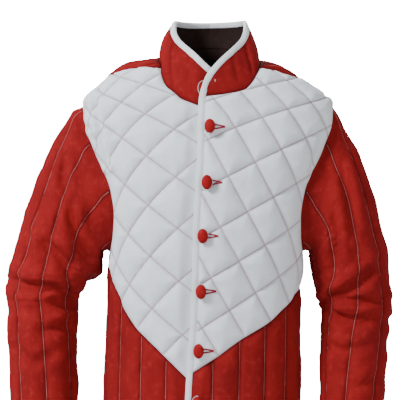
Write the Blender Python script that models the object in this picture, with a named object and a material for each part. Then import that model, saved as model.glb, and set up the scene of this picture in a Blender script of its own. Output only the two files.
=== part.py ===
"""A padded arming jacket (gambeson) that hangs as if worn, in metres, with +Z up and its front facing -Y.

The origin is the midpoint between the two places where the shoulders meet the neck. Each piece that a maker
would cut is one closed solid: two white diamond-quilted chest panels, two red lower fronts, a red back, two red
sleeves, a collar with its dark lining, the white edge bindings and the cloth-covered buttons.
"""

import math
from collections import namedtuple

import bmesh
import bpy
import numpy as np
from mathutils import Vector
from mathutils.geometry import delaunay_2d_cdt

SEAM_GAP = 0.0004
WALL_INSIDE = 0.0070
WALL_SEWN = 0.0045
PAD_RISE = 0.0050
PAD_ROUND = 0.011
LAP_WALL = 0.0035
LAP_LIFT = 0.0052
UNDERLAP = 0.030
CHANNEL = 0.048
EDGE_SET = 0.0074
FRONT_CHANNEL_START = 0.018
BINDING_HEIGHT = 0.0062

Section = namedtuple("Section", "z centre half_width front_depth back_depth squareness")
TORSO_SECTIONS = (
    Section(0.030, 0.010, 0.048, 0.046, 0.050, 2.0),
    Section(0.012, 0.006, 0.074, 0.062, 0.060, 2.0),
    Section(0.002, -0.001, 0.106, 0.072, 0.068, 2.0),
    Section(-0.007, -0.007, 0.139, 0.081, 0.078, 2.05),
    Section(-0.020, -0.006, 0.165, 0.091, 0.088, 2.1),
    Section(-0.044, 0.000, 0.196, 0.101, 0.100, 2.15),
    Section(-0.078, 0.005, 0.233, 0.110, 0.111, 2.2),
    Section(-0.116, 0.006, 0.236, 0.117, 0.118, 2.25),
    Section(-0.160, 0.006, 0.225, 0.124, 0.122, 2.3),
    Section(-0.220, 0.005, 0.205, 0.131, 0.122, 2.35),
    Section(-0.290, 0.004, 0.189, 0.133, 0.117, 2.35),
    Section(-0.352, 0.002, 0.181, 0.131, 0.112, 2.35),
    Section(-0.430, -0.002, 0.177, 0.126, 0.107, 2.3),
    Section(-0.530, -0.004, 0.179, 0.122, 0.106, 2.3),
    Section(-0.625, -0.006, 0.181, 0.127, 0.113, 2.3),
    Section(-0.720, -0.008, 0.187, 0.136, 0.124, 2.3),
    Section(-0.860, -0.010, 0.200, 0.149, 0.138, 2.3),
)


def smooth(at, xs, ys):
    """Values at `at` on the curve through a table that never overshoots between two rows."""
    xs, ys = np.asarray(xs, float), np.asarray(ys, float)
    if xs[0] > xs[-1]:
        xs, ys = xs[::-1], ys[::-1]
    step = np.diff(xs)
    slope = np.diff(ys) / step
    tangent = np.empty_like(ys)
    product = slope[1:] * slope[:-1]
    tangent[1:-1] = np.where(product > 0, 2 * product / (slope[1:] + slope[:-1] + 1e-30), 0.0)
    tangent[0], tangent[-1] = slope[0], slope[-1]
    at = np.clip(at, xs[0], xs[-1])
    i = np.clip(np.searchsorted(xs, at) - 1, 0, len(step) - 1)
    t = (at - xs[i]) / step[i]
    return (
        (1 + 2 * t) * (1 - t) ** 2 * ys[i]
        + t * (1 - t) ** 2 * step[i] * tangent[i]
        + t * t * (3 - 2 * t) * ys[i + 1]
        + t * t * (t - 1) * step[i] * tangent[i + 1]
    )


def column(table, key, name, at):
    """One named column of a table, read at values of another."""
    return smooth(at, [getattr(row, key) for row in table], [getattr(row, name) for row in table])


def ramp(value, start, end):
    """0 before `start` and 1 after `end`, with a smooth rise between."""
    t = np.clip((np.asarray(value, float) - start) / (end - start), 0.0, 1.0)
    return t * t * (3 - 2 * t)


class Torso:
    """The outline of the body of the jacket, addressed by arc from the centre front and drop from the neck."""

    ROWS, TURNS = 320, 361

    def __init__(self):
        z = np.linspace(TORSO_SECTIONS[0].z, TORSO_SECTIONS[-1].z, 2400)
        stretch = 1 + 0.6 / (1 + np.exp((-z - 0.11) / 0.02)) + 1.4 / (1 + np.exp((-z - 0.03) / 0.008))
        self.z_fine = z
        self.drop_fine = np.concatenate([[0.0], np.cumsum(stretch[1:] * -np.diff(z))])
        self.drops = np.linspace(0, self.drop_fine[-1], self.ROWS)
        rows = np.interp(self.drops, self.drop_fine, z)
        width, front, back, square = (
            column(TORSO_SECTIONS, "z", name, rows)[:, None]
            for name in ("half_width", "front_depth", "back_depth", "squareness")
        )
        turn = np.linspace(0, math.pi, 4 * self.TURNS)[None, :]
        x = width * np.abs(np.sin(turn)) ** (2 / square)
        depth = np.abs(np.cos(turn)) ** (2 / square)
        y = np.where(turn < math.pi / 2, -front * depth, back * depth)
        steps = np.hypot(np.diff(x), np.diff(y))
        arc = np.concatenate([np.zeros((self.ROWS, 1)), np.cumsum(steps, axis=1)], 1)
        share = np.linspace(0, 1, self.TURNS)
        self.half_girths = arc[:, -1]
        self.sides = np.array([np.interp(math.pi / 2, turn[0], row) for row in arc])
        self.x = np.array([np.interp(share * row[-1], row, xs) for row, xs in zip(arc, x)])
        self.y = np.array([np.interp(share * row[-1], row, ys) for row, ys in zip(arc, y)])

    def drop_at(self, z):
        """The drop of a height."""
        return np.interp(-np.asarray(z, float), -self.z_fine, self.drop_fine)

    def z_at(self, drop):
        """The height of a drop."""
        return np.interp(drop, self.drop_fine, self.z_fine)

    def side(self, drop):
        """The arc from the centre front to the widest point."""
        return np.interp(drop, self.drops, self.sides)

    def girth(self, drop):
        """The arc from the centre front to the centre back."""
        return np.interp(drop, self.drops, self.half_girths)

    def arc_at(self, x, z, back=False):
        """The arc of the front or back point at a width and height, signed as x is from the centre."""
        drop = float(self.drop_at(z))
        off = x - float(column(TORSO_SECTIONS, "z", "centre", z))
        row = self.x[int(round(drop / self.drops[-1] * (self.ROWS - 1)))]
        middle = int(np.argmax(row))
        arcs = np.linspace(0, float(self.girth(drop)), self.TURNS)
        if back:
            arc = np.interp(abs(off), row[middle:][::-1], arcs[middle:][::-1])
        else:
            arc = np.interp(abs(off), row[: middle + 1], arcs[: middle + 1])
        return math.copysign(float(arc), off)

    def point(self, arc, drop):
        """Points of the outline."""
        drop = np.clip(np.asarray(drop, float), 0, self.drops[-1])
        arc, drop = np.broadcast_arrays(np.asarray(arc, float), drop)
        row = drop / self.drops[-1] * (self.ROWS - 1)
        i = np.clip(row.astype(int), 0, self.ROWS - 2)
        f = row - i
        turn = np.clip(np.abs(arc) / self.girth(drop), 0, 1) * (self.TURNS - 1)
        j = np.clip(turn.astype(int), 0, self.TURNS - 2)
        g = turn - j

        def read(table):
            upper = table[i, j] * (1 - g) + table[i, j + 1] * g
            lower = table[i + 1, j] * (1 - g) + table[i + 1, j + 1] * g
            return upper * (1 - f) + lower * f

        z = self.z_at(drop)
        x = np.sign(arc) * read(self.x) + column(TORSO_SECTIONS, "z", "centre", z)
        return np.stack([x, read(self.y), z], axis=-1)

    def frame(self, arc, drop):
        """Points of the outline with their outward unit normals."""
        arc, drop = np.broadcast_arrays(np.asarray(arc, float), np.asarray(drop, float))
        across = self.point(arc + 0.002, drop) - self.point(arc - 0.002, drop)
        down = self.point(arc, drop + 0.003) - self.point(arc, drop - 0.003)
        normal = np.cross(down, across)
        normal /= np.linalg.norm(normal, axis=-1, keepdims=True) + 1e-12
        return self.point(arc, drop), normal


Spot = namedtuple("Spot", "x z")
FRONT_EDGE = (
    Spot(-0.0050, -0.040), Spot(-0.0061, -0.070), Spot(-0.0080, -0.167), Spot(-0.0150, -0.290),
    Spot(-0.0188, -0.432), Spot(-0.0237, -0.512), Spot(-0.0283, -0.574), Spot(-0.0300, -0.606),
    Spot(-0.0340, -0.720), Spot(-0.0385, -0.860),
)
BUTTONS = (
    Spot(0.0080, -0.1267), Spot(0.0029, -0.2244), Spot(-0.0045, -0.3184), Spot(-0.0075, -0.4164),
    Spot(-0.0118, -0.5224), Spot(-0.0140, -0.6160), Spot(-0.0180, -0.7100), Spot(-0.0220, -0.8040),
)
NECK = {
    -1: (
        Spot(-0.0107, -0.0859), Spot(-0.0269, -0.0805), Spot(-0.0432, -0.0738), Spot(-0.0521, -0.0660),
        Spot(-0.0612, -0.0584), Spot(-0.0704, -0.0500), Spot(-0.0774, -0.0360), Spot(-0.0800, -0.0165),
    ),
    1: (
        Spot(0.0065, -0.0712), Spot(0.0398, -0.0660), Spot(0.0685, -0.0584), Spot(0.0790, -0.0500),
        Spot(0.0893, -0.0366), Spot(0.0955, -0.0240), Spot(0.0985, -0.0155),
    ),
}
SHOULDER = {
    -1: (Spot(-0.0950, -0.0150), Spot(-0.1132, -0.0140), Spot(-0.1401, -0.0165)),
    1: (Spot(0.1146, -0.0170), Spot(0.1284, -0.0190), Spot(0.1547, -0.0275)),
}
SHOULDER_END = 0.080
RIDGE = (0.033, 0.056)
NECK_BACK = {"side": 0.0065, "behind": 0.0110, "middle": 0.0140}
UNDERARM = -0.352
HEM = -0.860
CHEST_END = {-1: -0.366, 1: -0.388}
CHEST_EDGE = {
    -1: (
        Spot(-0.1740, -0.3850), Spot(-0.1706, -0.4004), Spot(-0.1555, -0.4304), Spot(-0.1494, -0.4484),
        Spot(-0.1250, -0.4844), Spot(-0.1110, -0.4984), Spot(-0.0832, -0.5244), Spot(-0.0329, -0.5724),
        Spot(0.0020, -0.6057),
    ),
    1: (
        Spot(0.1760, -0.4124), Spot(0.1662, -0.4264), Spot(0.1562, -0.4404), Spot(0.1386, -0.4554),
        Spot(0.1135, -0.4764), Spot(0.0641, -0.5044), Spot(0.0179, -0.5364), Spot(-0.0206, -0.5610),
    ),
}
Reach = namedtuple("Reach", "turn front back")
ARMHOLE = (
    Reach(0, 0.000, 0.000), Reach(22, 0.022, 0.020), Reach(44, 0.038, 0.035), Reach(60, 0.050, 0.046),
    Reach(74, 0.060, 0.054), Reach(86, 0.070, 0.062), Reach(99, 0.077, 0.068), Reach(112, 0.076, 0.068),
    Reach(134, 0.063, 0.058), Reach(156, 0.042, 0.038), Reach(180, 0.000, 0.000),
)
Lattice = namedtuple(
    "Lattice",
    "arc down_arc across_arc bend_dd bend_dc bend_cc drop down_drop across_drop d2 dc c2",
)
DIAMONDS = {
    -1: Lattice(-0.1118, -0.0505, 0.0474, 0.0040, -0.0069, 0.0039,
                0.1226, 0.0523, 0.0279, 0.0006, -0.0015, 0.0021),
    1: Lattice(0.1699, 0.0369, -0.0491, -0.0003, 0.0002, 0.0,
               0.0990, 0.0713, 0.0171, -0.0015, 0.0004, 0.0008),
}
SleeveLine = namedtuple("SleeveLine", "armhole elbow cuff")
SLEEVE_LINES = {
    -1: (
        SleeveLine(20, 36, 36), SleeveLine(62, 85, 87), SleeveLine(100, 140, 144), SleeveLine(150, 187, 187),
        SleeveLine(210, 230, 230), SleeveLine(255, 273, 273),
        SleeveLine(298, 316, 316), SleeveLine(340, 359, 359),
    ),
    1: (
        SleeveLine(20, 27, 46), SleeveLine(62, 83, 106), SleeveLine(100, 124, 155), SleeveLine(150, 180, 205),
        SleeveLine(210, 225, 245), SleeveLine(255, 268, 282),
        SleeveLine(298, 308, 318), SleeveLine(340, 350, 364),
    ),
}
Ring = namedtuple("Ring", "outer_x outer_z inner_x inner_z middle_y half_depth")
SLEEVES = {
    -1: (
        Ring(-0.2280, -0.080, -0.1800, -0.352, 0.000, 0.068),
        Ring(-0.2440, -0.087, -0.1850, -0.352, -0.001, 0.071),
        Ring(-0.2610, -0.116, -0.1870, -0.353, -0.002, 0.073),
        Ring(-0.2800, -0.148, -0.1885, -0.355, -0.002, 0.074),
        Ring(-0.2960, -0.186, -0.1897, -0.358, -0.002, 0.075),
        Ring(-0.3140, -0.232, -0.1908, -0.363, -0.002, 0.075),
        Ring(-0.3350, -0.292, -0.1925, -0.372, -0.001, 0.075),
        Ring(-0.3500, -0.345, -0.1965, -0.384, 0.000, 0.074),
        Ring(-0.3610, -0.385, -0.2045, -0.398, 0.001, 0.074),
        Ring(-0.3650, -0.412, -0.2160, -0.409, 0.001, 0.073),
        Ring(-0.3665, -0.432, -0.2315, -0.422, 0.000, 0.071),
        Ring(-0.3630, -0.460, -0.2370, -0.457, -0.003, 0.069),
        Ring(-0.3610, -0.520, -0.2360, -0.520, -0.014, 0.067),
        Ring(-0.3560, -0.600, -0.2350, -0.600, -0.031, 0.064),
        Ring(-0.3500, -0.705, -0.2360, -0.700, -0.055, 0.060),
    ),
    1: (
        Ring(0.2390, -0.080, 0.1830, -0.352, 0.000, 0.068),
        Ring(0.2480, -0.094, 0.1890, -0.352, -0.001, 0.071),
        Ring(0.2600, -0.124, 0.1912, -0.353, -0.002, 0.073),
        Ring(0.2770, -0.158, 0.1930, -0.355, -0.002, 0.074),
        Ring(0.2930, -0.198, 0.1942, -0.358, -0.002, 0.075),
        Ring(0.3080, -0.246, 0.1953, -0.363, -0.002, 0.075),
        Ring(0.3230, -0.302, 0.1965, -0.372, -0.001, 0.074),
        Ring(0.3350, -0.352, 0.1985, -0.386, 0.000, 0.073),
        Ring(0.3380, -0.392, 0.2015, -0.404, 0.000, 0.072),
        Ring(0.3400, -0.425, 0.2070, -0.424, 0.000, 0.071),
        Ring(0.3415, -0.450, 0.2160, -0.448, -0.002, 0.069),
        Ring(0.3380, -0.478, 0.2170, -0.475, -0.005, 0.067),
        Ring(0.3350, -0.533, 0.2140, -0.533, -0.016, 0.065),
        Ring(0.3275, -0.610, 0.2130, -0.610, -0.033, 0.062),
        Ring(0.3200, -0.705, 0.2120, -0.700, -0.055, 0.058),
    ),
}
ELBOW_ROW = 9
CUFF_ROW = 14
Fold = namedtuple("Fold", "row turn end_row end_turn width depth")
FOLDS = {
    -1: (
        Fold(3.2, 70, 8.2, 125, 0.013, 0.007), Fold(7.2, 75, 9.6, 110, 0.012, 0.006),
        Fold(9.9, 30, 10.6, 128, 0.012, 0.009), Fold(10.8, 80, 10.7, 165, 0.010, 0.007),
        Fold(11.6, 75, 11.4, 150, 0.011, 0.005), Fold(12.1, 40, 12.2, 120, 0.012, 0.004),
        Fold(10.2, 200, 10.6, 300, 0.013, 0.007),
    ),
    1: (
        Fold(8.4, 40, 10.3, 140, 0.013, 0.008), Fold(10.0, 45, 10.4, 150, 0.011, 0.007),
        Fold(10.9, 60, 10.9, 165, 0.011, 0.006), Fold(2.6, 80, 7.6, 105, 0.012, 0.005),
        Fold(4.0, 100, 8.6, 140, 0.012, 0.005), Fold(10.2, 200, 10.6, 300, 0.013, 0.007),
    ),
}
Top = namedtuple("Top", "share x y z")
COLLAR_CENTRE = 0.0100
COLLAR_TOP = (
    Top(0.00, 0.0000, 0.058, 0.080), Top(0.17, 0.0310, 0.051, 0.080), Top(0.34, 0.0560, 0.028, 0.080),
    Top(0.50, 0.0660, -0.003, 0.079), Top(0.59, 0.0665, -0.025, 0.074), Top(0.67, 0.0630, -0.046, 0.057),
    Top(0.75, 0.0540, -0.064, 0.038), Top(0.83, 0.0390, -0.082, 0.021), Top(0.92, 0.0190, -0.096, 0.001),
)
COLLAR_END = {-1: Top(1.0, -0.0090, -0.096, -0.0240), 1: Top(1.0, 0.0040, -0.105, -0.0150)}
COLLAR_WALL = 0.0052
COLLAR_BULGE = 0.004
COLLAR_BINDING = 0.0115
BINDING_CLEAR = 0.0030
COLLAR_CORNER = 0.016
COLLAR_BINDING_END = {-1: 0.945, 1: 0.955}
LINING_WALL = 0.0012
BUTTON_STAND = 0.0012
BUTTON_HALF = Vector((0.0095, 0.0068, 0.0130))

TORSO = Torso()


def arcs_of(spots):
    """Arc and drop of places on the front given by width and height."""
    return [(TORSO.arc_at(spot.x, spot.z), float(TORSO.drop_at(spot.z))) for spot in spots]


def along(points, spacing):
    """A smooth line through (arc, drop) points, sampled about every `spacing` of real length."""
    points = np.array(points, float)
    padded = np.vstack([2 * points[0] - points[1], points, 2 * points[-1] - points[-2]])
    fine = []
    for k in range(1, len(padded) - 2):
        a, b, c, d = padded[k - 1 : k + 3]
        t = np.linspace(0, 1, 12, endpoint=False)[:, None]
        squared, cubed = 2 * a - 5 * b + 4 * c - d, 3 * b - a - 3 * c + d
        fine.append(0.5 * (2 * b + (c - a) * t + squared * t**2 + cubed * t**3))
    fine = np.vstack(fine + [points[-1:]])
    place = TORSO.point(fine[:, 0], fine[:, 1])
    length = np.concatenate([[0.0], np.cumsum(np.linalg.norm(np.diff(place, axis=0), axis=1))])
    count = max(1, round(length[-1] / spacing))
    at = np.linspace(0, length[-1], count + 1)
    return [(float(np.interp(s, length, fine[:, 0])), float(np.interp(s, length, fine[:, 1]))) for s in at]


def join(*lines):
    """One line out of several that meet end to end."""
    whole = list(lines[0])
    for line in lines[1:]:
        whole += list(line)[1:]
    return whole


def side_line(sign, z_start, z_end, spacing=0.045):
    """The side seam between two heights."""
    drops = (float(TORSO.drop_at(z)) for z in (z_start, 0.5 * (z_start + z_end), z_end))
    return along([(sign * float(TORSO.side(drop)), drop) for drop in drops], spacing)


def edge_arc(drop):
    """The arc of the middle of the front edge binding."""
    z = TORSO.z_at(drop)
    return column(FRONT_EDGE, "z", "x", z) - column(TORSO_SECTIONS, "z", "centre", z)


def near_edge(sign, drop):
    """The arc of a panel's edge along the front opening: under the other front, or beside the binding."""
    return edge_arc(drop) + (UNDERLAP if sign < 0 else EDGE_SET)


def lap_lift(arc, drop):
    """How far the overlapping front is lifted off the one beneath it."""
    off = np.asarray(arc, float) - edge_arc(drop)
    return LAP_LIFT * (1 - ramp(off, 0.042, 0.090))


def armhole_spot(sign, turn):
    """Arc and drop on the armhole, where turn 0 is the shoulder, 90 the front and 180 the underarm."""
    turn = turn % 360
    half = 0.5 * (-SHOULDER_END - UNDERARM)
    z = 0.5 * (-SHOULDER_END + UNDERARM) + half * math.cos(math.radians(turn))
    drop = float(TORSO.drop_at(z))
    if turn <= 180:
        reach = -float(column(ARMHOLE, "turn", "front", turn))
    else:
        reach = float(column(ARMHOLE, "turn", "back", 360 - turn))
    return sign * (float(TORSO.side(drop)) + reach), drop


def spokes(sign, row, divisions=4):
    """The turns around a sleeve at one row, a fixed number for each quilted channel."""
    lines = SLEEVE_LINES[sign]
    if row <= ELBOW_ROW:
        share = float(ramp(row, 0, ELBOW_ROW))
        turns = [line.armhole + (line.elbow - line.armhole) * share for line in lines]
    else:
        share = (row - ELBOW_ROW) / (CUFF_ROW - ELBOW_ROW)
        turns = [line.elbow + (line.cuff - line.elbow) * share for line in lines]
    turns.append(turns[0] + 360)
    return [
        start + (end - start) * k / divisions
        for start, end in zip(turns[:-1], turns[1:])
        for k in range(divisions)
    ]


class Seams:
    """The lines where the panels of one side meet, each as (arc, drop) points that both neighbours use."""

    def __init__(self, sign, spacing=0.024):
        self.sign = sign
        neck = arcs_of(NECK[sign])
        start = float(near_edge(sign, neck[0][1]))
        drop = neck[0][1] + (0.005 if sign < 0 else 0.0)
        self.neck = along([(start, drop)] + neck[(0 if sign < 0 else 1) :], spacing)
        top = float(TORSO.drop_at(-SHOULDER_END))
        tip = [(sign * float(TORSO.side(d)), d) for d in (float(TORSO.drop_at(-z)) for z in RIDGE)]
        tip.append((sign * float(TORSO.side(top)), top))
        self.shoulder = along([neck[-1]] + arcs_of(SHOULDER[sign]) + tip, spacing)
        turns = sorted(turn % 360 for turn in spokes(sign, 0))
        front = [turn for turn in turns if turn <= 180.001]
        back = [turn for turn in turns if turn >= 179.999] + [360]
        self.armhole_front = [armhole_spot(sign, turn) for turn in front]
        self.armhole_back = [armhole_spot(sign, turn if turn < 360 else 0) for turn in back]
        self.side_upper = side_line(sign, UNDERARM, CHEST_END[sign], 0.02)
        self.side_lower = side_line(sign, CHEST_END[sign], HEM)
        chest = [self.side_lower[0]] + arcs_of(CHEST_EDGE[sign])
        self.chest_edge = along(chest, spacing)
        ridge = float(TORSO.drop_at(NECK_BACK["side"]))
        between = float(TORSO.drop_at(-0.005))
        behind = float(TORSO.drop_at(NECK_BACK["behind"]))
        middle = float(TORSO.drop_at(NECK_BACK["middle"]))
        start = neck[-1]
        self.neck_back = along(
            [
                start,
                (TORSO.arc_at(NECK[sign][-1].x * 1.03, -0.005), between),
                (sign * float(TORSO.side(ridge)), ridge),
                (sign * (0.45 * float(TORSO.side(behind)) + 0.55 * float(TORSO.girth(behind))), behind),
                (sign * float(TORSO.girth(middle)), middle),
            ],
            spacing,
        )


def distance_to(lines, points):
    """The distance from each point to the nearest of several lines, all as (arc, drop)."""
    best = np.full(len(points), 1.0)
    for line in lines:
        line = np.asarray(line, float)
        start, step = line[:-1], np.diff(line, axis=0)
        away = points[:, None, :] - start[None]
        t = np.clip((away * step).sum(-1) / ((step**2).sum(-1) + 1e-15), 0, 1)
        gap = np.linalg.norm(away - t[..., None] * step[None], axis=-1)
        best = np.minimum(best, gap.min(axis=1))
    return best


def inside(outline, points):
    """Which points lie within a closed outline."""
    outline = np.asarray(outline, float)
    a, b = outline, np.roll(outline, -1, axis=0)
    x, y = points[:, :1], points[:, 1:]
    with np.errstate(divide="ignore", invalid="ignore"):
        crossing = ((a[:, 1] > y) != (b[:, 1] > y)) & (
            x < (b[:, 0] - a[:, 0]) * (y - a[:, 1]) / (b[:, 1] - a[:, 1]) + a[:, 0]
        )
    return crossing.sum(axis=1) % 2 == 1


def lattice_spot(sign, down, across):
    """Arc and drop of a place in the diamond quilting, counted in diamonds down and across."""
    q = DIAMONDS[sign]
    arc = q.arc + q.down_arc * down + q.across_arc * across
    arc += q.bend_dd * down**2 + q.bend_dc * down * across + q.bend_cc * across**2
    drop = q.drop + q.down_drop * down + q.across_drop * across
    drop += q.d2 * down**2 + q.dc * down * across + q.c2 * across**2
    return arc, drop


def diamond_lines(sign, step=0.25):
    """The two crossing sets of quilting lines over a chest."""
    count = int(round(11 / step))
    steps = [-1 + step * k for k in range(count + 1)]
    lines = [[lattice_spot(sign, down, across) for across in steps] for down in range(-1, 9)]
    lines += [[lattice_spot(sign, down, across) for down in steps] for across in range(-1, 10)]
    return lines


def channel_lines(arcs, top, bottom, step=0.05):
    """Upright quilting lines at the given arcs."""
    count = int(round((bottom - top) / step))
    return [[(arc, top + (bottom - top) * k / count) for k in range(count + 1)] for arc in arcs]


def pad(gap):
    """How far the padding rises at a distance from the nearest line of sewing."""
    return PAD_RISE * (1 - np.exp(-np.asarray(gap, float) / PAD_ROUND))


def keep(outline, points, margin):
    """The points inside an outline that stay a margin away from it."""
    points = np.asarray(points, float)
    closed = np.vstack([outline, outline[:1]])
    return points[inside(outline, points) & (distance_to([closed], points) > margin)]


def thin_out(points, gap):
    """The points with any that is too near an earlier one left out."""
    kept = []
    for point in points:
        if all(abs(point[0] - other[0]) + abs(point[1] - other[1]) > gap for other in kept):
            kept.append(point)
    return kept


def runs_within(outline, lines, margin):
    """The stretches of the lines that lie inside an outline and a margin away from it."""
    closed = np.vstack([outline, outline[:1]])
    runs = []
    for line in lines:
        line = np.asarray(line, float)
        run = []
        for point, good in zip(line, inside(outline, line) & (distance_to([closed], line) > margin)):
            if good:
                run.append(tuple(point))
                continue
            if len(run) > 1:
                runs.append(run)
            run = []
        if len(run) > 1:
            runs.append(run)
    return runs


def even_grid(outline, across, down, margin):
    """An even grid of points inside an outline."""
    low, high = outline.min(axis=0), outline.max(axis=0)
    columns, rows = (int(count) + 1 for count in (high - low) / (across, down))
    grid = [
        (low[0] + across * (i + 0.5), low[1] + down * (j + 0.5)) for i in range(columns) for j in range(rows)
    ]
    return keep(outline, grid, margin)


def triangulate(outline, points, lines=()):
    """Triangles over an outline and the points inside it, keeping each line as edges."""
    coords = [Vector(p) for p in outline] + [Vector(p) for p in points]
    edges = []
    for line in lines:
        first = len(coords)
        coords += [Vector(p) for p in line]
        edges += [(first + k, first + k + 1) for k in range(len(line) - 1)]
    result = delaunay_2d_cdt(coords, edges, [list(range(len(outline)))], 1, 1e-5)
    verts, faces, origins = result[0], result[2], result[3]
    order = {}
    for k, sources in enumerate(origins):
        for source in sources:
            order[source] = k
    rim = [order[k] for k in range(len(outline))]
    return np.array([(v.x, v.y) for v in verts]), [tuple(f) for f in faces], rim


class Panel:
    """A cut piece of padded cloth on the body, as an outline, its lines of sewing and where its padding lies."""

    def __init__(self, name, outline, lines, fill, place, lift=None, press=None):
        self.name = name
        outline = [p for k, p in enumerate(outline) if math.dist(p, outline[k - 1]) > 1e-4]
        self.outline = np.array(outline)
        self.lines, self.fill, self.place, self.lift, self.press = lines, fill, place, lift, press

    def height(self, spots):
        """Height of the outer face above the inner one."""
        closed = np.vstack([self.outline, self.outline[:1]])
        rise = pad(np.minimum(distance_to(self.lines, spots), distance_to([closed], spots)))
        if self.press is None:
            return WALL_SEWN + rise
        free = self.press(spots[:, 0], spots[:, 1])
        return LAP_WALL + free * (WALL_SEWN - LAP_WALL + rise)

    def shape(self):
        """Vertices and triangles of the closed piece."""
        fill = keep(self.outline, self.fill, 0.009)
        fill = thin_out(fill[distance_to(self.lines, fill) > 0.005], 0.008)
        sewn = runs_within(self.outline, self.lines, 0.0065)
        outer, outer_faces, outer_rim = triangulate(self.outline, fill, sewn)
        plain = even_grid(self.outline, 0.030, 0.036, 0.012)
        inner, inner_faces, inner_rim = triangulate(self.outline, plain)
        top = self.solid_points(outer, outer_rim, self.height(outer))
        bottom = self.solid_points(inner, inner_rim, np.zeros(len(inner)))
        points = np.vstack([top, bottom])
        shift = len(top)
        faces = list(outer_faces) + [tuple(shift + k for k in reversed(face)) for face in inner_faces]
        for k in range(len(outer_rim)):
            a, b = outer_rim[k - 1], outer_rim[k]
            c, d = shift + inner_rim[k - 1], shift + inner_rim[k]
            faces += [(a, c, b), (b, c, d)]
        return points, faces

    def solid_points(self, spots, rim, height):
        """Places at a height over the inner face, with the rim drawn back by half a seam gap."""
        base, normal = self.place(spots[:, 0], spots[:, 1])
        if self.lift is not None:
            height = height + self.lift(spots[:, 0], spots[:, 1])
        points = base + normal * (height - WALL_INSIDE)[:, None]
        edge = base[rim]
        run = np.roll(edge, -1, axis=0) - np.roll(edge, 1, axis=0)
        inward = np.cross(normal[rim], run)
        inward /= np.linalg.norm(inward, axis=1, keepdims=True) + 1e-12
        step = np.roll(self.outline, -1, axis=0) - np.roll(self.outline, 1, axis=0)
        outline, following = self.outline, np.roll(self.outline, -1, axis=0)
        area = (outline[:, 0] * following[:, 1] - following[:, 0] * outline[:, 1]).sum()
        step *= np.sign(area) * 0.002 / (np.linalg.norm(step, axis=1, keepdims=True) + 1e-12)
        within = self.place(outline[:, 0] - step[:, 1], outline[:, 1] + step[:, 0])[0]
        turn = float(np.sign(((within - edge) * inward).sum()))
        points[rim] += inward * (turn * SEAM_GAP / 2)
        return points


def front_place(arc, drop):
    """Place and normal on the front, by arc from the centre front."""
    return TORSO.frame(arc, drop)


def back_place(arc, drop):
    """Place and normal on the back, by arc from the centre back."""
    front = np.where(arc < 0, -1.0, 1.0) * (TORSO.girth(drop) - np.abs(arc))
    return TORSO.frame(front, drop)


def from_back(points):
    """Front (arc, drop) points as ones counted from the centre back."""
    return [(math.copysign(float(TORSO.girth(drop)) - abs(arc), arc), drop) for arc, drop in points]


def chest_panel(name, sign, seams):
    """A white chest panel with its diamond quilting."""
    edge_end = seams.chest_edge[-1]
    start = seams.neck[0]
    drops = np.linspace(edge_end[1], start[1], 16)[1:-1]
    centre = [(float(near_edge(sign, d)), float(d)) for d in drops]
    outline = join(seams.neck, seams.shoulder, seams.armhole_front, seams.side_upper, seams.chest_edge)
    outline += centre
    fill = []
    for down in range(-1, 9):
        for across in range(-1, 10):
            fill += [
                lattice_spot(sign, down + i, across + j) for i in (0.22, 0.5, 0.78) for j in (0.22, 0.5, 0.78)
            ]
    return Panel(name, outline, diamond_lines(sign), fill, front_place, *lap_of(sign))


def lap_of(sign):
    """The lift of an overlapping front, or the flat zone of the one beneath it."""
    if sign > 0:
        return lap_lift, None
    return None, lambda arc, drop: 1 - ramp(arc - edge_arc(drop), -0.030, -0.008)


def channel_fill(arcs, top, bottom, step=0.055):
    """Points between upright lines of sewing: one on each side of the crest and one on it."""
    rows = np.arange(top, bottom, step)
    return [
        (start + (end - start) * share, row + (0.5 * step if share == 0.5 else 0.0))
        for start, end in zip(arcs[:-1], arcs[1:])
        for share in (0.25, 0.5, 0.75)
        for row in rows
    ]


def front_panel(name, sign, seams):
    """A red lower front with upright channels."""
    hem_drop = float(TORSO.drop_at(HEM))
    near = float(near_edge(sign, hem_drop))
    hem = along([(sign * float(TORSO.side(hem_drop)), hem_drop), (near, hem_drop)], 0.03)
    start = seams.chest_edge[-1][1]
    drops = np.linspace(hem_drop, start, 9)[1:-1]
    centre = [(float(near_edge(sign, d)), float(d)) for d in drops]
    outline = join(list(reversed(seams.chest_edge)), seams.side_lower, hem) + centre
    arcs = [sign * (FRONT_CHANNEL_START + CHANNEL * k) for k in range(-1, 7)]
    top = float(TORSO.drop_at(CHEST_END[sign])) - 0.01
    lines = channel_lines(arcs, top, hem_drop)
    return Panel(name, outline, lines, channel_fill(arcs, top, hem_drop), front_place, *lap_of(sign))


def back_panel(name, seams):
    """The red back with upright channels, reaching over the shoulders to the front seams."""
    outline = []
    for sign in (-1, 1):
        half = seams[sign]
        hem_drop = float(TORSO.drop_at(HEM))
        hem_end = (sign * float(TORSO.girth(hem_drop)), hem_drop)
        hem = along([half.side_lower[-1], hem_end], 0.03)
        line = join(list(reversed(half.neck_back)), half.shoulder, list(reversed(half.armhole_back)))
        line = from_back(join(line, half.side_upper, half.side_lower, hem))
        outline += line[:-1] if sign < 0 else list(reversed(line))[:-1]
    arcs = [CHANNEL * (k + 0.5) for k in range(-8, 8)]
    top, bottom = float(TORSO.drop_at(0.01)), float(TORSO.drop_at(HEM))
    lines = channel_lines(arcs, top, bottom)
    return Panel(name, outline, lines, channel_fill(arcs, top, bottom), back_place)


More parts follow.
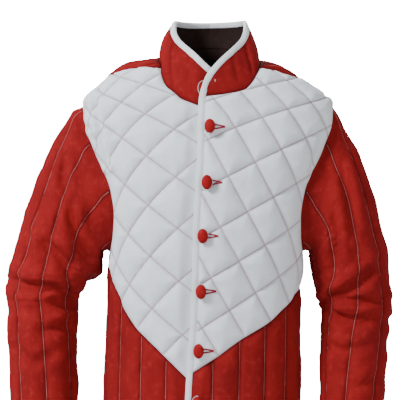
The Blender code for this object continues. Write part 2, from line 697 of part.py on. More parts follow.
def ring_strip(outer, inner, closed):
    """A closed wall from a grid of outer points and one of inner points, both as rows of rings."""
    points, faces = [], []
    starts = []
    for grid in (outer, inner):
        rows = []
        for ring in grid:
            rows.append(len(points))
            points += list(ring)
        starts.append(rows)
    count = len(outer[0])
    pairs = range(count) if closed else range(count - 1)

    def quad(corners, turned):
        a, b, c, d = corners
        faces.append((a, c, b) if turned else (a, b, c))
        faces.append((a, d, c) if turned else (a, c, d))

    for rows, turned in ((starts[0], False), (starts[1], True)):
        for upper, lower in zip(rows[:-1], rows[1:]):
            for k in pairs:
                n = (k + 1) % count
                quad((upper + k, lower + k, lower + n, upper + n), turned)
    for end in (0, -1):
        a, b = starts[0][end], starts[1][end]
        for k in pairs:
            n = (k + 1) % count
            quad((a + k, a + n, b + n, b + k), end != 0)
    if not closed:
        for end in (0, count - 1):
            outer_edge = [row + end for row in starts[0]]
            inner_edge = [row + end for row in starts[1]]
            side_strip(outer_edge, inner_edge, faces, points, end == 0)
    return np.array(points), faces


def side_strip(outer, inner, faces, points, turned):
    """Triangles between two lines of points with unequal counts."""
    i = j = 0
    while i < len(outer) - 1 or j < len(inner) - 1:
        ahead = math.inf if i == len(outer) - 1 else math.dist(points[outer[i + 1]], points[inner[j]])
        other = math.inf if j == len(inner) - 1 else math.dist(points[outer[i]], points[inner[j + 1]])
        if ahead <= other:
            face = (outer[i], outer[i + 1], inner[j])
            i += 1
        else:
            face = (outer[i], inner[j + 1], inner[j])
            j += 1
        faces.append(tuple(reversed(face)) if turned else face)


class Sleeve:
    """A sleeve as rings from the armhole to the cuff, each a flat oval across the arm."""

    def __init__(self, sign):
        self.sign = sign
        rows = range(len(SLEEVES[sign]))
        self.table = {name: [getattr(ring, name) for ring in SLEEVES[sign]] for name in Ring._fields}
        self.rows = list(rows)
        self.folds = [self.fold_line(fold) for fold in FOLDS[sign]]

    def value(self, name, row):
        """One column of the ring table at any row."""
        return smooth(row, self.rows, self.table[name])

    def base(self, row, turn):
        """Places on the sleeve before its folds are pressed in."""
        row, turn = np.broadcast_arrays(np.asarray(row, float), np.radians(np.asarray(turn, float)))
        ox, oz = self.value("outer_x", row), self.value("outer_z", row)
        ix, iz = self.value("inner_x", row), self.value("inner_z", row)
        c, s = np.cos(turn), np.sin(turn)
        x = 0.5 * (ox + ix) + 0.5 * (ox - ix) * c
        z = 0.5 * (oz + iz) + 0.5 * (oz - iz) * c
        y = self.value("middle_y", row) - self.value("half_depth", row) * s
        return np.stack([x, y, z], axis=-1)

    def seam(self, turns):
        """Places and normals of the armhole on the torso."""
        spots = np.array([armhole_spot(self.sign, turn) for turn in turns])
        return TORSO.frame(spots[:, 0], spots[:, 1])

    def settled(self, row, turn):
        """Places on the sleeve, drawn to the true armhole near the shoulder."""
        place = self.base(row, turn)
        weight = 1 - ramp(row, 0.0, 4.5)
        if weight <= 0:
            return place
        seam, _ = self.seam(turn)
        return place + weight * (seam - self.base(0.0, turn))

    def fold_line(self, fold):
        """A fold's line of deepest points."""
        share = np.linspace(0, 1, 14)
        rows = fold.row + (fold.end_row - fold.row) * share
        turns = fold.turn + (fold.end_turn - fold.turn) * share
        return self.base(rows, turns), fold.width, fold.depth

    def hollow(self, places):
        """How far the folds press in the cloth."""
        depth = np.zeros(len(places))
        for line, width, deep in self.folds:
            away = np.linalg.norm(places[:, None, :] - line[None], axis=-1)
            taper = np.sin(np.linspace(0.12, 0.88, len(line)) * math.pi)
            depth = np.maximum(depth, (deep * taper[None] * np.exp(-((away / width) ** 2))).max(axis=1))
        return depth

    def ring(self, row, turns, heights):
        """Points of one ring at heights over the inner face."""
        turns = np.asarray(turns, float)
        if row <= 0:
            place, normal = self.seam(turns)
            before, _ = self.seam(turns - 2)
            after, _ = self.seam(turns + 2)
            away = np.cross(normal, after - before)
            away /= np.linalg.norm(away, axis=1, keepdims=True)
            middle = place.mean(axis=0)
            away *= np.sign(((middle - place) * away).sum())
            return place + away * SEAM_GAP * 0.75 + normal * (heights - WALL_INSIDE)[:, None]
        place = self.settled(row, turns)
        around = self.settled(row, turns + 2) - self.settled(row, turns - 2)
        down = self.settled(row + 0.05, turns) - self.settled(row - 0.05, turns)
        normal = np.cross(down, around)
        normal /= np.linalg.norm(normal, axis=1, keepdims=True)
        middle = place.mean(axis=0)
        normal *= np.sign(((place - middle) * normal).sum())
        return place + normal * (heights - WALL_INSIDE - self.hollow(place))[:, None]

    def shape(self):
        """Vertices and triangles of the closed sleeve."""
        outer_rows = [0, 0.6, 1.3, 2, 3, 4, 5, 6, 7, 8, 9, 9.6, 10.2, 10.8, 11.4, 12, 12.7, 13.4, 14]
        inner_rows = [0, 0.6, 1.3, 2, 3, 4, 5, 6, 7, 8, 9, 9.6, 10.2, 10.8, 11.4, 12, 13, 14]
        lobes = np.tile([0.0, 0.62, 0.90, 0.62], len(SLEEVE_LINES[self.sign]))
        outer, inner = [], []
        for row in outer_rows:
            ends = float(ramp(row, 0, 1.3) * (1 - ramp(row, 13.5, 14)))
            outer.append(self.ring(row, spokes(self.sign, row), WALL_SEWN + PAD_RISE * lobes * ends))
        for row in inner_rows:
            inner.append(self.ring(row, spokes(self.sign, row), np.zeros(len(lobes))))
        return ring_strip(outer, inner, True)


class Collar:
    """The stand collar as stations along the neck, from one front end round the back to the other."""

    def __init__(self, seams):
        left = join(seams[-1].neck, seams[-1].neck_back)
        right = join(seams[1].neck, seams[1].neck_back)
        self.base = left + list(reversed(right))[1:]
        spots = np.array(self.base)
        place, normal = TORSO.frame(spots[:, 0], spots[:, 1])
        self.lift = np.where(np.arange(len(spots)) < len(left), 0.0, lap_lift(spots[:, 0], spots[:, 1]))
        self.foot, self.foot_normal = place, normal
        length = np.concatenate([[0.0], np.cumsum(np.linalg.norm(np.diff(place, axis=0), axis=1))])
        self.middle = len(left)
        middle = length[len(left) - 1]
        self.share = np.where(
            np.arange(len(spots)) < len(left),
            -(1 - length / middle),
            (length - middle) / (length[-1] - middle),
        )
        self.edge = self.top(self.share)
        rise = self.edge - self.foot
        run = np.gradient(self.edge, axis=0)
        run /= np.linalg.norm(run, axis=1, keepdims=True)
        self.span = np.linalg.norm(rise - run * (rise * run).sum(axis=1, keepdims=True), axis=1)

    def top(self, share):
        """Places along the top edge, from -1 at one front end to 1 at the other."""
        out = []
        for value in np.atleast_1d(share):
            sign = -1 if value < 0 else 1
            table = COLLAR_TOP + (COLLAR_END[sign],)
            x, y, z = (float(column(table, "share", name, abs(value))) for name in ("x", "y", "z"))
            out.append((COLLAR_CENTRE + sign * x, y, z))
        return np.array(out)

    def at(self, level):
        """Places round the collar at levels from 0 at the neck seam to 1 at the top edge."""
        level = np.broadcast_to(np.asarray(level, float), self.share.shape)[:, None]
        place = self.foot + (self.edge - self.foot) * level
        out = place - np.array([COLLAR_CENTRE, -0.02, 0.0])
        out[:, 2] = 0
        out /= np.linalg.norm(out, axis=1, keepdims=True)
        bulge = COLLAR_BULGE * (1 - ramp(-self.share, 0.80, 0.94))[:, None]
        return place + out * (bulge * np.sin(math.pi * level))

    def normals(self, level):
        """Outward normals round the collar."""
        level = np.broadcast_to(np.asarray(level, float), self.share.shape)
        place = self.at(level)
        around = np.gradient(place, axis=0)
        up = self.at(np.minimum(level + 0.02, 1.0)) - self.at(np.maximum(level - 0.02, 0.0))
        normal = np.cross(around, up)
        normal /= np.linalg.norm(normal, axis=1, keepdims=True)
        out = place - np.array([COLLAR_CENTRE, -0.02, 0.0])
        return normal * np.sign((out * normal).sum())

    def wall(self, levels, low, high, most=1.0):
        """Rings of points between two heights over the inner face, for the stations up to a share."""
        chosen = np.abs(self.share) <= most
        under = 1 - ramp(-self.share, 0.84, 0.92)
        high = np.minimum(high, LAP_WALL) + (high - np.minimum(high, LAP_WALL)) * under
        corner = COLLAR_CORNER * ramp(self.share, 0.86, 1.0)
        limit = 1 - (COLLAR_BINDING + BINDING_CLEAR + corner) / self.span
        outer, inner = [], []
        for level in levels:
            place, normal = self.at(level * limit), self.normals(level * limit)
            if level <= 0:
                run = np.gradient(self.foot, axis=0)
                away = np.cross(run, self.foot_normal)
                away /= np.linalg.norm(away, axis=1, keepdims=True)
                away *= np.sign(away[:, 2].sum())
                place, normal = self.foot + away * SEAM_GAP * 0.75, self.foot_normal
            height = self.lift - WALL_INSIDE
            outer.append((place + normal * (height + high)[:, None])[chosen])
            inner.append((place + normal * (height + low)[:, None])[chosen])
        return outer, inner


def collar_shape(collar):
    """The red outside of the collar, up to the binding."""
    outer, inner = collar.wall((0.0, 0.26, 0.50, 0.75, 1.0), 0.0, COLLAR_WALL)
    return ring_strip(outer, inner, False)


def lining_shape(collar):
    """The dark cloth that faces the neck inside the collar."""
    outer, inner = collar.wall((0.26, 0.50, 0.75, 1.0), -LINING_WALL - SEAM_GAP, -SEAM_GAP, 0.90)
    return ring_strip(outer, inner, False)


def collar_binding_line(collar, sign, most):
    """Centres, across directions and normals of the binding along one half of the collar's top edge."""
    level = 1 - 0.5 * COLLAR_BINDING / collar.span
    place, normal = collar.at(level), collar.normals(level)
    down = collar.at(level - 0.04) - place
    down /= np.linalg.norm(down, axis=1, keepdims=True)
    order = np.argsort(np.abs(collar.share))
    chosen = [k for k in order if 0 <= sign * collar.share[k] <= most and (sign > 0 or k < collar.middle)]
    centre = place + normal * (collar.lift - WALL_INSIDE)[:, None]
    return centre[chosen], down[chosen], normal[chosen]


def resample(lines, spacing, fine_step=0.004, passes=8):
    """Several lines of equal length, read again at an even spacing of the first, with a smooth path."""
    step = fine_step
    for _ in range(2):
        length = np.concatenate([[0.0], np.cumsum(np.linalg.norm(np.diff(lines[0], axis=0), axis=1))])
        at = np.linspace(0, length[-1], max(2, round(length[-1] / step)) + 1)
        lines = [
            np.stack([np.interp(at, length, line[:, k]) for k in range(line.shape[1])], 1) for line in lines
        ]
        if step == spacing:
            return lines
        for _ in range(passes):
            for line in lines:
                line[1:-1] = 0.25 * line[:-2] + 0.5 * line[1:-1] + 0.25 * line[2:]
        step = spacing
    return lines


def collar_end_line(collar, levels=4):
    """The binding's line down the front end of the overlapping half of the collar."""
    last = len(collar.share) - 1
    span = float(np.linalg.norm(collar.edge[last] - collar.foot[last]))
    centre, across, normal = [], [], []
    for level in np.linspace(1 - COLLAR_BINDING * 1.7 / span, 0.12, levels):
        place, normals = collar.at(level)[last], collar.normals(level)[last]
        inward = collar.at(level)[last - 1] - place
        inward /= np.linalg.norm(inward)
        centre.append(place - inward * EDGE_SET + normals * (collar.lift[last] - WALL_INSIDE))
        across.append(inward)
        normal.append(normals)
    return centre, across, normal


def front_edge_line(stations=40):
    """The binding's line down the whole front edge of the overlapping front."""
    start = float(TORSO.drop_at(NECK[1][0].z)) + 0.006
    drops = np.linspace(start, float(TORSO.drop_at(HEM)), stations)
    arcs = edge_arc(drops)
    place, normals = TORSO.frame(arcs, drops)
    aside, _ = TORSO.frame(arcs + 0.004, drops)
    aside = (aside - place) / np.linalg.norm(aside - place, axis=1, keepdims=True)
    return place + normals * (lap_lift(arcs, drops) - WALL_INSIDE)[:, None], aside, normals


def binding_shape(collar, sign, spacing=0.020):
    """The white binding of one front: along the collar, then on one side down the whole front edge."""
    line = collar_binding_line(collar, sign, COLLAR_BINDING_END[sign])
    wrapped = len(line[0])
    if sign > 0:
        pieces = (line, collar_end_line(collar), front_edge_line())
        line = [np.vstack(parts) for parts in zip(*pieces)]
    single = len(line[0]) - wrapped
    low = np.repeat([-LINING_WALL - 2 * SEAM_GAP, -SEAM_GAP], [wrapped, single])
    high = np.repeat([COLLAR_WALL + 0.0010, BINDING_HEIGHT], [wrapped, single])
    centre, across, normal, band = resample([*line, np.stack([low, high], 1)], spacing)
    along_line = np.gradient(centre, axis=0)
    along_line /= np.linalg.norm(along_line, axis=1, keepdims=True)
    centre[0] += along_line[0] * (3 * SEAM_GAP)
    across -= along_line * (across * along_line).sum(1, keepdims=True)
    across /= np.linalg.norm(across, axis=1, keepdims=True)
    square = np.cross(along_line, across)
    square *= np.sign((square * normal).sum(1, keepdims=True))
    return sweep(centre, across, square, COLLAR_BINDING / 2, band[:, 0], band[:, 1])


def sweep(centres, across, normals, half_width, low, high, count=8):
    """A closed bead with rounded edges that follows a line of centres."""
    rings = []
    for k in range(count):
        turn = 2 * math.pi * (k + 0.5) / count
        side = math.copysign(abs(math.cos(turn)) ** 0.6, math.cos(turn))
        rise = math.copysign(abs(math.sin(turn)) ** 0.75, math.sin(turn))
        height = 0.5 * (low + high) + 0.5 * (high - low) * rise
        rings.append(centres + across * (half_width * side) + normals * height[:, None])
    stations = list(np.stack(rings, axis=1))
    points = [point for station in stations for point in station]
    faces = []
    for s in range(len(stations) - 1):
        for k in range(count):
            n = (k + 1) % count
            a, b, c, d = s * count + k, s * count + n, (s + 1) * count + n, (s + 1) * count + k
            faces += [(a, b, c), (a, c, d)]
    last = (len(stations) - 1) * count
    for k in range(1, count - 1):
        faces += [(0, k + 1, k), (last, last + k, last + k + 1)]
    return np.array(points), faces


def button_shape(panel, spot, turns=12, rows=7):
    """A domed button that sits on a front panel."""
    arc, drop = TORSO.arc_at(spot.x, spot.z), float(TORSO.drop_at(spot.z))
    place, normal = TORSO.frame(np.array([arc]), np.array([drop]))
    place, normal = place[0], normal[0]
    across = np.array([1.0, 0.0, 0.0])
    across -= normal * float(across @ normal)
    across /= np.linalg.norm(across)
    up = np.cross(across, normal)
    up *= math.copysign(1.0, up[2])
    surface = float(panel.height(np.array([[arc, drop]]))[0]) + float(lap_lift(arc, drop)) - WALL_INSIDE
    centre = place + normal * (surface + BUTTON_STAND + BUTTON_HALF.y)
    points = [centre + normal * BUTTON_HALF.y, centre - normal * BUTTON_HALF.y]
    for row in range(1, rows):
        rise = math.pi * row / rows
        for k in range(turns):
            turn = 2 * math.pi * k / turns
            points.append(
                centre
                + normal * (BUTTON_HALF.y * math.cos(rise))
                + across * (BUTTON_HALF.x * math.sin(rise) * math.cos(turn))
                + up * (BUTTON_HALF.z * math.sin(rise) * math.sin(turn))
            )
    faces = []
    for k in range(turns):
        n = (k + 1) % turns
        faces.append((0, 2 + k, 2 + n))
        last = 2 + (rows - 2) * turns
        faces.append((1, last + n, last + k))
        for row in range(rows - 2):
            a, b = 2 + row * turns + k, 2 + row * turns + n
            faces += [(a, a + turns, b + turns), (a, b + turns, b)]
    return np.array(points), faces


MATERIALS = {
    "white_cloth": (0.62, 0.66, 0.70, 0.88),
    "red_cloth": (0.46, 0.035, 0.030, 0.86),
    "lining_cloth": (0.045, 0.028, 0.026, 0.92),
    "binding_cloth": (0.68, 0.71, 0.74, 0.85),
    "button_cloth": (0.42, 0.030, 0.028, 0.80),
}


def material(name):
    """A plain cloth material of one colour."""
    made = bpy.data.materials.get(name)
    if made:
        return made
    made = bpy.data.materials.new(name)
    made.use_nodes = True
    red, green, blue, rough = MATERIALS[name]
    shader = made.node_tree.nodes["Principled BSDF"]
    shader.inputs["Base Color"].default_value = (red, green, blue, 1.0)
    shader.inputs["Roughness"].default_value = rough
    shader.inputs["Metallic"].default_value = 0.0
    made.diffuse_color = (red, green, blue, 1.0)
    return made


def add_solid(collection, name, shape, slot):
    """One closed object from points and triangles, turned to face outward."""
    points, faces = shape
    mesh = bpy.data.meshes.new(name)
    mesh.from_pydata([tuple(map(float, p)) for p in points], [], [tuple(int(k) for k in f) for f in faces])
    edit = bmesh.new()
    edit.from_mesh(mesh)
    bmesh.ops.recalc_face_normals(edit, faces=edit.faces)
    if edit.calc_volume(signed=True) < 0:
        bmesh.ops.reverse_faces(edit, faces=edit.faces)
    edit.to_mesh(mesh)
    edit.free()
    mesh.materials.append(material(slot))
    solid = bpy.data.objects.new(name, mesh)
    collection.objects.link(solid)
    return solid


def main():
    """Builds every piece of the jacket."""
    for old in list(bpy.data.objects):
        bpy.data.objects.remove(old, do_unlink=True)
    collection = bpy.data.collections.new("gambeson")
    bpy.context.scene.collection.children.link(collection)
    seams = {sign: Seams(sign) for sign in (-1, 1)}
    hand = {-1: "right", 1: "left"}
    chests = {sign: chest_panel(f"chest_{hand[sign]}", sign, seams[sign]) for sign in (-1, 1)}
    fronts = {sign: front_panel(f"front_{hand[sign]}", sign, seams[sign]) for sign in (-1, 1)}
    for sign in (-1, 1):
        add_solid(collection, chests[sign].name, chests[sign].shape(), "white_cloth")
        add_solid(collection, fronts[sign].name, fronts[sign].shape(), "red_cloth")
    add_solid(collection, "back", back_panel("back", seams).shape(), "red_cloth")
    for sign in (-1, 1):
        add_solid(collection, f"sleeve_{hand[sign]}", Sleeve(sign).shape(), "red_cloth")
    collar = Collar(seams)
    add_solid(collection, "collar", collar_shape(collar), "red_cloth")
    add_solid(collection, "collar_lining", lining_shape(collar), "lining_cloth")
    add_solid(collection, "binding_right", binding_shape(collar, -1), "binding_cloth")
    add_solid(collection, "binding_left", binding_shape(collar, 1), "binding_cloth")
    for number, spot in enumerate(BUTTONS, 1):
        below = spot.z < CHEST_EDGE[1][-1].z
        panel = fronts[1] if below else chests[1]
        add_solid(collection, f"button_{number}", button_shape(panel, spot), "button_cloth")


if __name__ == "__main__":
    main()
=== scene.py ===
"""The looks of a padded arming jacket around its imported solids, in metres, with +Z up and its front to -Y.

Each solid of cloth is replaced by a finer piece on the same cut lines: quilted panels and sleeves with
puckered padding, a stand collar, bound edges and covered buttons. Stitches and buttonholes lie on top.
"""

import logging
import math
from dataclasses import dataclass, field
from enum import Enum
from typing import Any, Callable, NamedTuple, Sequence

import bpy
import numpy as np
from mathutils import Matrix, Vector
from mathutils.geometry import delaunay_2d_cdt


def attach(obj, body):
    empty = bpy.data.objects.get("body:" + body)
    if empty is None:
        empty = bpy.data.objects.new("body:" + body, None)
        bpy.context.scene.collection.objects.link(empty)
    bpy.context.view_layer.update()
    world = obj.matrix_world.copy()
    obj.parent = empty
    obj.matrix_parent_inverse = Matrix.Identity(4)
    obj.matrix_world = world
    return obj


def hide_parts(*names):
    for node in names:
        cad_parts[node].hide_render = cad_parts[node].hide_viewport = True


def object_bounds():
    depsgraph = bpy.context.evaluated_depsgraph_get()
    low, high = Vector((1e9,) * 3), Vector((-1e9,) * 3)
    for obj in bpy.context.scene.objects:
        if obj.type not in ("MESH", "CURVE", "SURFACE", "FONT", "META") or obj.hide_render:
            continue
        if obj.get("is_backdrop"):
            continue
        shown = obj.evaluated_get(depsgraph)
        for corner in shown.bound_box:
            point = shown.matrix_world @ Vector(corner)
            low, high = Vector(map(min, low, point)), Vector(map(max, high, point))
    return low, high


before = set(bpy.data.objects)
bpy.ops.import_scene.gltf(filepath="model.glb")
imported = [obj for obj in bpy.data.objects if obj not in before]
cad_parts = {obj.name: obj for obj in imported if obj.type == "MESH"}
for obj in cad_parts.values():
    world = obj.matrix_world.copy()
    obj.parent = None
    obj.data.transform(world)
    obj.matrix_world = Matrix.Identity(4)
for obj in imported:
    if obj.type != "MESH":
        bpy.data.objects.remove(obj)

LOG = logging.getLogger("jacket")
BODY = "root"
Array = np.ndarray
Spots = Sequence[tuple[float, float]]
Line = list[tuple[float, float]]
Placed = tuple[Array, Array]


class Side(Enum):
    """The wearer's sides, as the sign of X."""

    RIGHT = -1
    LEFT = 1

    @property
    def word(self) -> str:
        """The side as the end of a piece's name."""
        return self.name.lower()


class Section(NamedTuple):
    """One level cut through the body of the jacket."""

    z: float
    centre: float
    half_width: float
    front_depth: float
    back_depth: float
    squareness: float


class Spot(NamedTuple):
    """A place on the front by its width and height."""

    x: float
    z: float


class Reach(NamedTuple):
    """How far the armhole stands in front of and behind the side, by its turn from the shoulder."""

    turn: float
    front: float
    back: float


class Lattice(NamedTuple):
    """The crossing diamond lines of one chest, as arc and drop that bend with the count down and across."""

    arc: float
    down_arc: float
    across_arc: float
    bend_dd: float
    bend_dc: float
    bend_cc: float
    drop: float
    down_drop: float
    across_drop: float
    d2: float
    dc: float
    c2: float


class SleeveLine(NamedTuple):
    """One row of sewing down a sleeve, by its turn in degrees at five places."""

    armhole: float
    upper: float
    elbow: float
    bend: float
    cuff: float


class Ring(NamedTuple):
    """One ring of a sleeve."""

    outer_x: float
    outer_z: float
    inner_x: float
    inner_z: float
    middle_y: float
    half_depth: float


class Fold(NamedTuple):
    """A crease in a sleeve, along places given by row and turn."""

    path: tuple[tuple[float, float], ...]
    width: float
    depth: float


class Trough(NamedTuple):
    """A soft crease in a panel, along places on its front."""

    path: tuple[Spot, ...]
    width: float
    depth: float


class Top(NamedTuple):
    """A place on the collar's top edge, by its share of the way from the back to a front end."""

    share: float
    x: float
    y: float
    z: float


@dataclass(frozen=True)
class Wall:
    """Thicknesses and gaps of the padded cloth."""

    seam_gap: float = 0.0004
    inside: float = 0.0070
    sewn: float = 0.0045
    lap_wall: float = 0.0035
    lap_lift: float = 0.0052
    underlap: float = 0.030
    edge_set: float = 0.0045
    binding_width: float = 0.0115
    binding_height: float = 0.0062
    collar: float = 0.0052
    lining: float = 0.0012


WALL = Wall()
CHANNEL = 0.048
FRONT_CHANNEL_START = 0.018
SHOULDER_END = 0.080
RIDGE = (0.033, 0.056)
UNDERARM = -0.352
HEM = -0.860
CHEST_END = {Side.RIGHT: -0.366, Side.LEFT: -0.388}
NECK_BACK_SIDE = {Side.RIGHT: 0.0092, Side.LEFT: 0.0065}
NECK_BACK_BEHIND, NECK_BACK_MIDDLE = 0.0110, 0.0140
NECK_BEHIND_SHOULDER = -0.005
TORSO_SECTIONS = (
    Section(0.030, 0.010, 0.048, 0.046, 0.050, 2.0),
    Section(0.012, 0.006, 0.074, 0.062, 0.060, 2.0),
    Section(0.002, -0.001, 0.106, 0.072, 0.068, 2.0),
    Section(-0.007, -0.007, 0.139, 0.081, 0.078, 2.05),
    Section(-0.020, -0.006, 0.165, 0.091, 0.088, 2.1),
    Section(-0.044, 0.000, 0.196, 0.101, 0.100, 2.15),
    Section(-0.078, 0.005, 0.233, 0.110, 0.111, 2.2),
    Section(-0.116, 0.006, 0.236, 0.117, 0.118, 2.25),
    Section(-0.160, 0.006, 0.225, 0.124, 0.122, 2.3),
    Section(-0.220, 0.005, 0.205, 0.131, 0.122, 2.35),
    Section(-0.290, 0.004, 0.189, 0.133, 0.117, 2.35),
    Section(-0.352, 0.002, 0.181, 0.131, 0.112, 2.35),
    Section(-0.430, -0.002, 0.177, 0.126, 0.107, 2.3),
    Section(-0.530, -0.004, 0.179, 0.122, 0.106, 2.3),
    Section(-0.625, -0.006, 0.181, 0.127, 0.113, 2.3),
    Section(-0.720, -0.008, 0.187, 0.136, 0.124, 2.3),
    Section(-0.860, -0.010, 0.200, 0.149, 0.138, 2.3),
)
FRONT_EDGE = (
    Spot(-0.0050, -0.040), Spot(-0.0061, -0.070), Spot(-0.0080, -0.167), Spot(-0.0150, -0.290),
    Spot(-0.0188, -0.432), Spot(-0.0237, -0.512), Spot(-0.0283, -0.574), Spot(-0.0300, -0.606),
    Spot(-0.0340, -0.720), Spot(-0.0385, -0.860),
)
BUTTONS = (
    Spot(0.0080, -0.1267), Spot(0.0029, -0.2244), Spot(-0.0045, -0.3184), Spot(-0.0075, -0.4164),
    Spot(-0.0118, -0.5224), Spot(-0.0140, -0.6160), Spot(-0.0180, -0.7100), Spot(-0.0220, -0.8040),
)
NECK = {
    Side.RIGHT: (
        Spot(-0.0107, -0.0859), Spot(-0.0269, -0.0805), Spot(-0.0432, -0.0738), Spot(-0.0521, -0.0660),
        Spot(-0.0612, -0.0584), Spot(-0.0704, -0.0500), Spot(-0.0774, -0.0360), Spot(-0.0800, -0.0165),
    ),
    Side.LEFT: (
        Spot(0.0065, -0.0712), Spot(0.0398, -0.0660), Spot(0.0685, -0.0584), Spot(0.0790, -0.0500),
        Spot(0.0893, -0.0366), Spot(0.0955, -0.0240), Spot(0.0985, -0.0155),
    ),
}
SHOULDER = {
    Side.RIGHT: (Spot(-0.0950, -0.0150), Spot(-0.1132, -0.0140), Spot(-0.1401, -0.0165)),
    Side.LEFT: (Spot(0.1146, -0.0170), Spot(0.1284, -0.0190), Spot(0.1547, -0.0275)),
}
CHEST_EDGE = {
    Side.RIGHT: (
        Spot(-0.1740, -0.3850), Spot(-0.1706, -0.4004), Spot(-0.1555, -0.4304), Spot(-0.1494, -0.4484),
        Spot(-0.1250, -0.4844), Spot(-0.1110, -0.4984), Spot(-0.0832, -0.5244), Spot(-0.0329, -0.5724),
        Spot(0.0020, -0.6057),
    ),
    Side.LEFT: (
        Spot(0.1760, -0.4124), Spot(0.1662, -0.4264), Spot(0.1562, -0.4404), Spot(0.1386, -0.4554),
        Spot(0.1135, -0.4764), Spot(0.0641, -0.5044), Spot(0.0179, -0.5364), Spot(-0.0206, -0.5610),
    ),
}
ARMHOLE = (
    Reach(0, 0.000, 0.000), Reach(22, 0.022, 0.020), Reach(44, 0.038, 0.035), Reach(60, 0.050, 0.046),
    Reach(74, 0.060, 0.054), Reach(86, 0.070, 0.062), Reach(99, 0.077, 0.068), Reach(112, 0.076, 0.068),
    Reach(134, 0.063, 0.058), Reach(156, 0.042, 0.038), Reach(180, 0.000, 0.000),
)
DIAMONDS = {
    Side.RIGHT: Lattice(
        -0.1118, -0.0505, 0.0474, 0.0040, -0.0069, 0.0039, 0.1226, 0.0523, 0.0279, 0.0006, -0.0015, 0.0021
    ),
    Side.LEFT: Lattice(
        0.1699, 0.0369, -0.0491, -0.0003, 0.0002, 0.0, 0.0990, 0.0713, 0.0171, -0.0015, 0.0004, 0.0008
    ),
}
SLEEVE_LINES = {
    Side.RIGHT: (
        SleeveLine(20, 40, 45, 46, 53), SleeveLine(62, 73, 82, 91, 105),
        SleeveLine(100, 109, 112, 138, 158), SleeveLine(150, 166, 175, 186, 200),
        SleeveLine(210, 214, 220, 230, 240), SleeveLine(255, 262, 268, 273, 278),
        SleeveLine(298, 305, 312, 316, 320), SleeveLine(340, 351, 358, 361, 366),
    ),
    Side.LEFT: (
        SleeveLine(20, 36, 42, 42, 60), SleeveLine(62, 70, 82, 94, 116),
        SleeveLine(100, 112, 122, 147, 162), SleeveLine(150, 165, 174, 188, 203),
        SleeveLine(210, 216, 222, 236, 245), SleeveLine(255, 260, 266, 274, 282),
        SleeveLine(298, 302, 307, 312, 320), SleeveLine(340, 346, 352, 357, 366),
    ),
}
SLEEVE_LINE_ROWS = (0.0, 3.5, 7.5, 10.3, 14.0)
SLEEVES = {
    Side.RIGHT: (
        Ring(-0.2280, -0.080, -0.1800, -0.352, 0.000, 0.068),
        Ring(-0.2440, -0.087, -0.1850, -0.352, -0.001, 0.071),
        Ring(-0.2610, -0.116, -0.1870, -0.353, -0.002, 0.073),
        Ring(-0.2800, -0.148, -0.1885, -0.355, -0.002, 0.074),
        Ring(-0.2960, -0.186, -0.1897, -0.358, -0.002, 0.075),
        Ring(-0.3140, -0.232, -0.1908, -0.363, -0.002, 0.075),
        Ring(-0.3350, -0.292, -0.1925, -0.372, -0.001, 0.075),
        Ring(-0.3500, -0.345, -0.1965, -0.384, 0.000, 0.074),
        Ring(-0.3610, -0.385, -0.2045, -0.398, 0.001, 0.074),
        Ring(-0.3650, -0.412, -0.2160, -0.409, 0.001, 0.073),
        Ring(-0.3665, -0.432, -0.2315, -0.422, 0.000, 0.071),
        Ring(-0.3630, -0.460, -0.2370, -0.457, -0.003, 0.069),
        Ring(-0.3610, -0.520, -0.2360, -0.520, -0.014, 0.067),
        Ring(-0.3560, -0.600, -0.2350, -0.600, -0.031, 0.064),
        Ring(-0.3500, -0.705, -0.2360, -0.700, -0.055, 0.060),
    ),
    Side.LEFT: (
        Ring(0.2390, -0.080, 0.1830, -0.352, 0.000, 0.068),
        Ring(0.2480, -0.094, 0.1890, -0.352, -0.001, 0.071),
        Ring(0.2600, -0.124, 0.1912, -0.353, -0.002, 0.073),
        Ring(0.2770, -0.158, 0.1930, -0.355, -0.002, 0.074),
        Ring(0.2930, -0.198, 0.1942, -0.358, -0.002, 0.075),
        Ring(0.3080, -0.246, 0.1953, -0.363, -0.002, 0.075),
        Ring(0.3230, -0.302, 0.1965, -0.372, -0.001, 0.074),
        Ring(0.3350, -0.352, 0.1985, -0.386, 0.000, 0.073),
        Ring(0.3380, -0.392, 0.2015, -0.404, 0.000, 0.072),
        Ring(0.3400, -0.425, 0.2070, -0.424, 0.000, 0.071),
        Ring(0.3415, -0.450, 0.2160, -0.448, -0.002, 0.069),
        Ring(0.3380, -0.478, 0.2170, -0.475, -0.005, 0.067),
        Ring(0.3350, -0.533, 0.2140, -0.533, -0.016, 0.065),
        Ring(0.3275, -0.610, 0.2130, -0.610, -0.033, 0.062),
        Ring(0.3200, -0.705, 0.2120, -0.700, -0.055, 0.058),
    ),
}
CUFF_ROW = 14
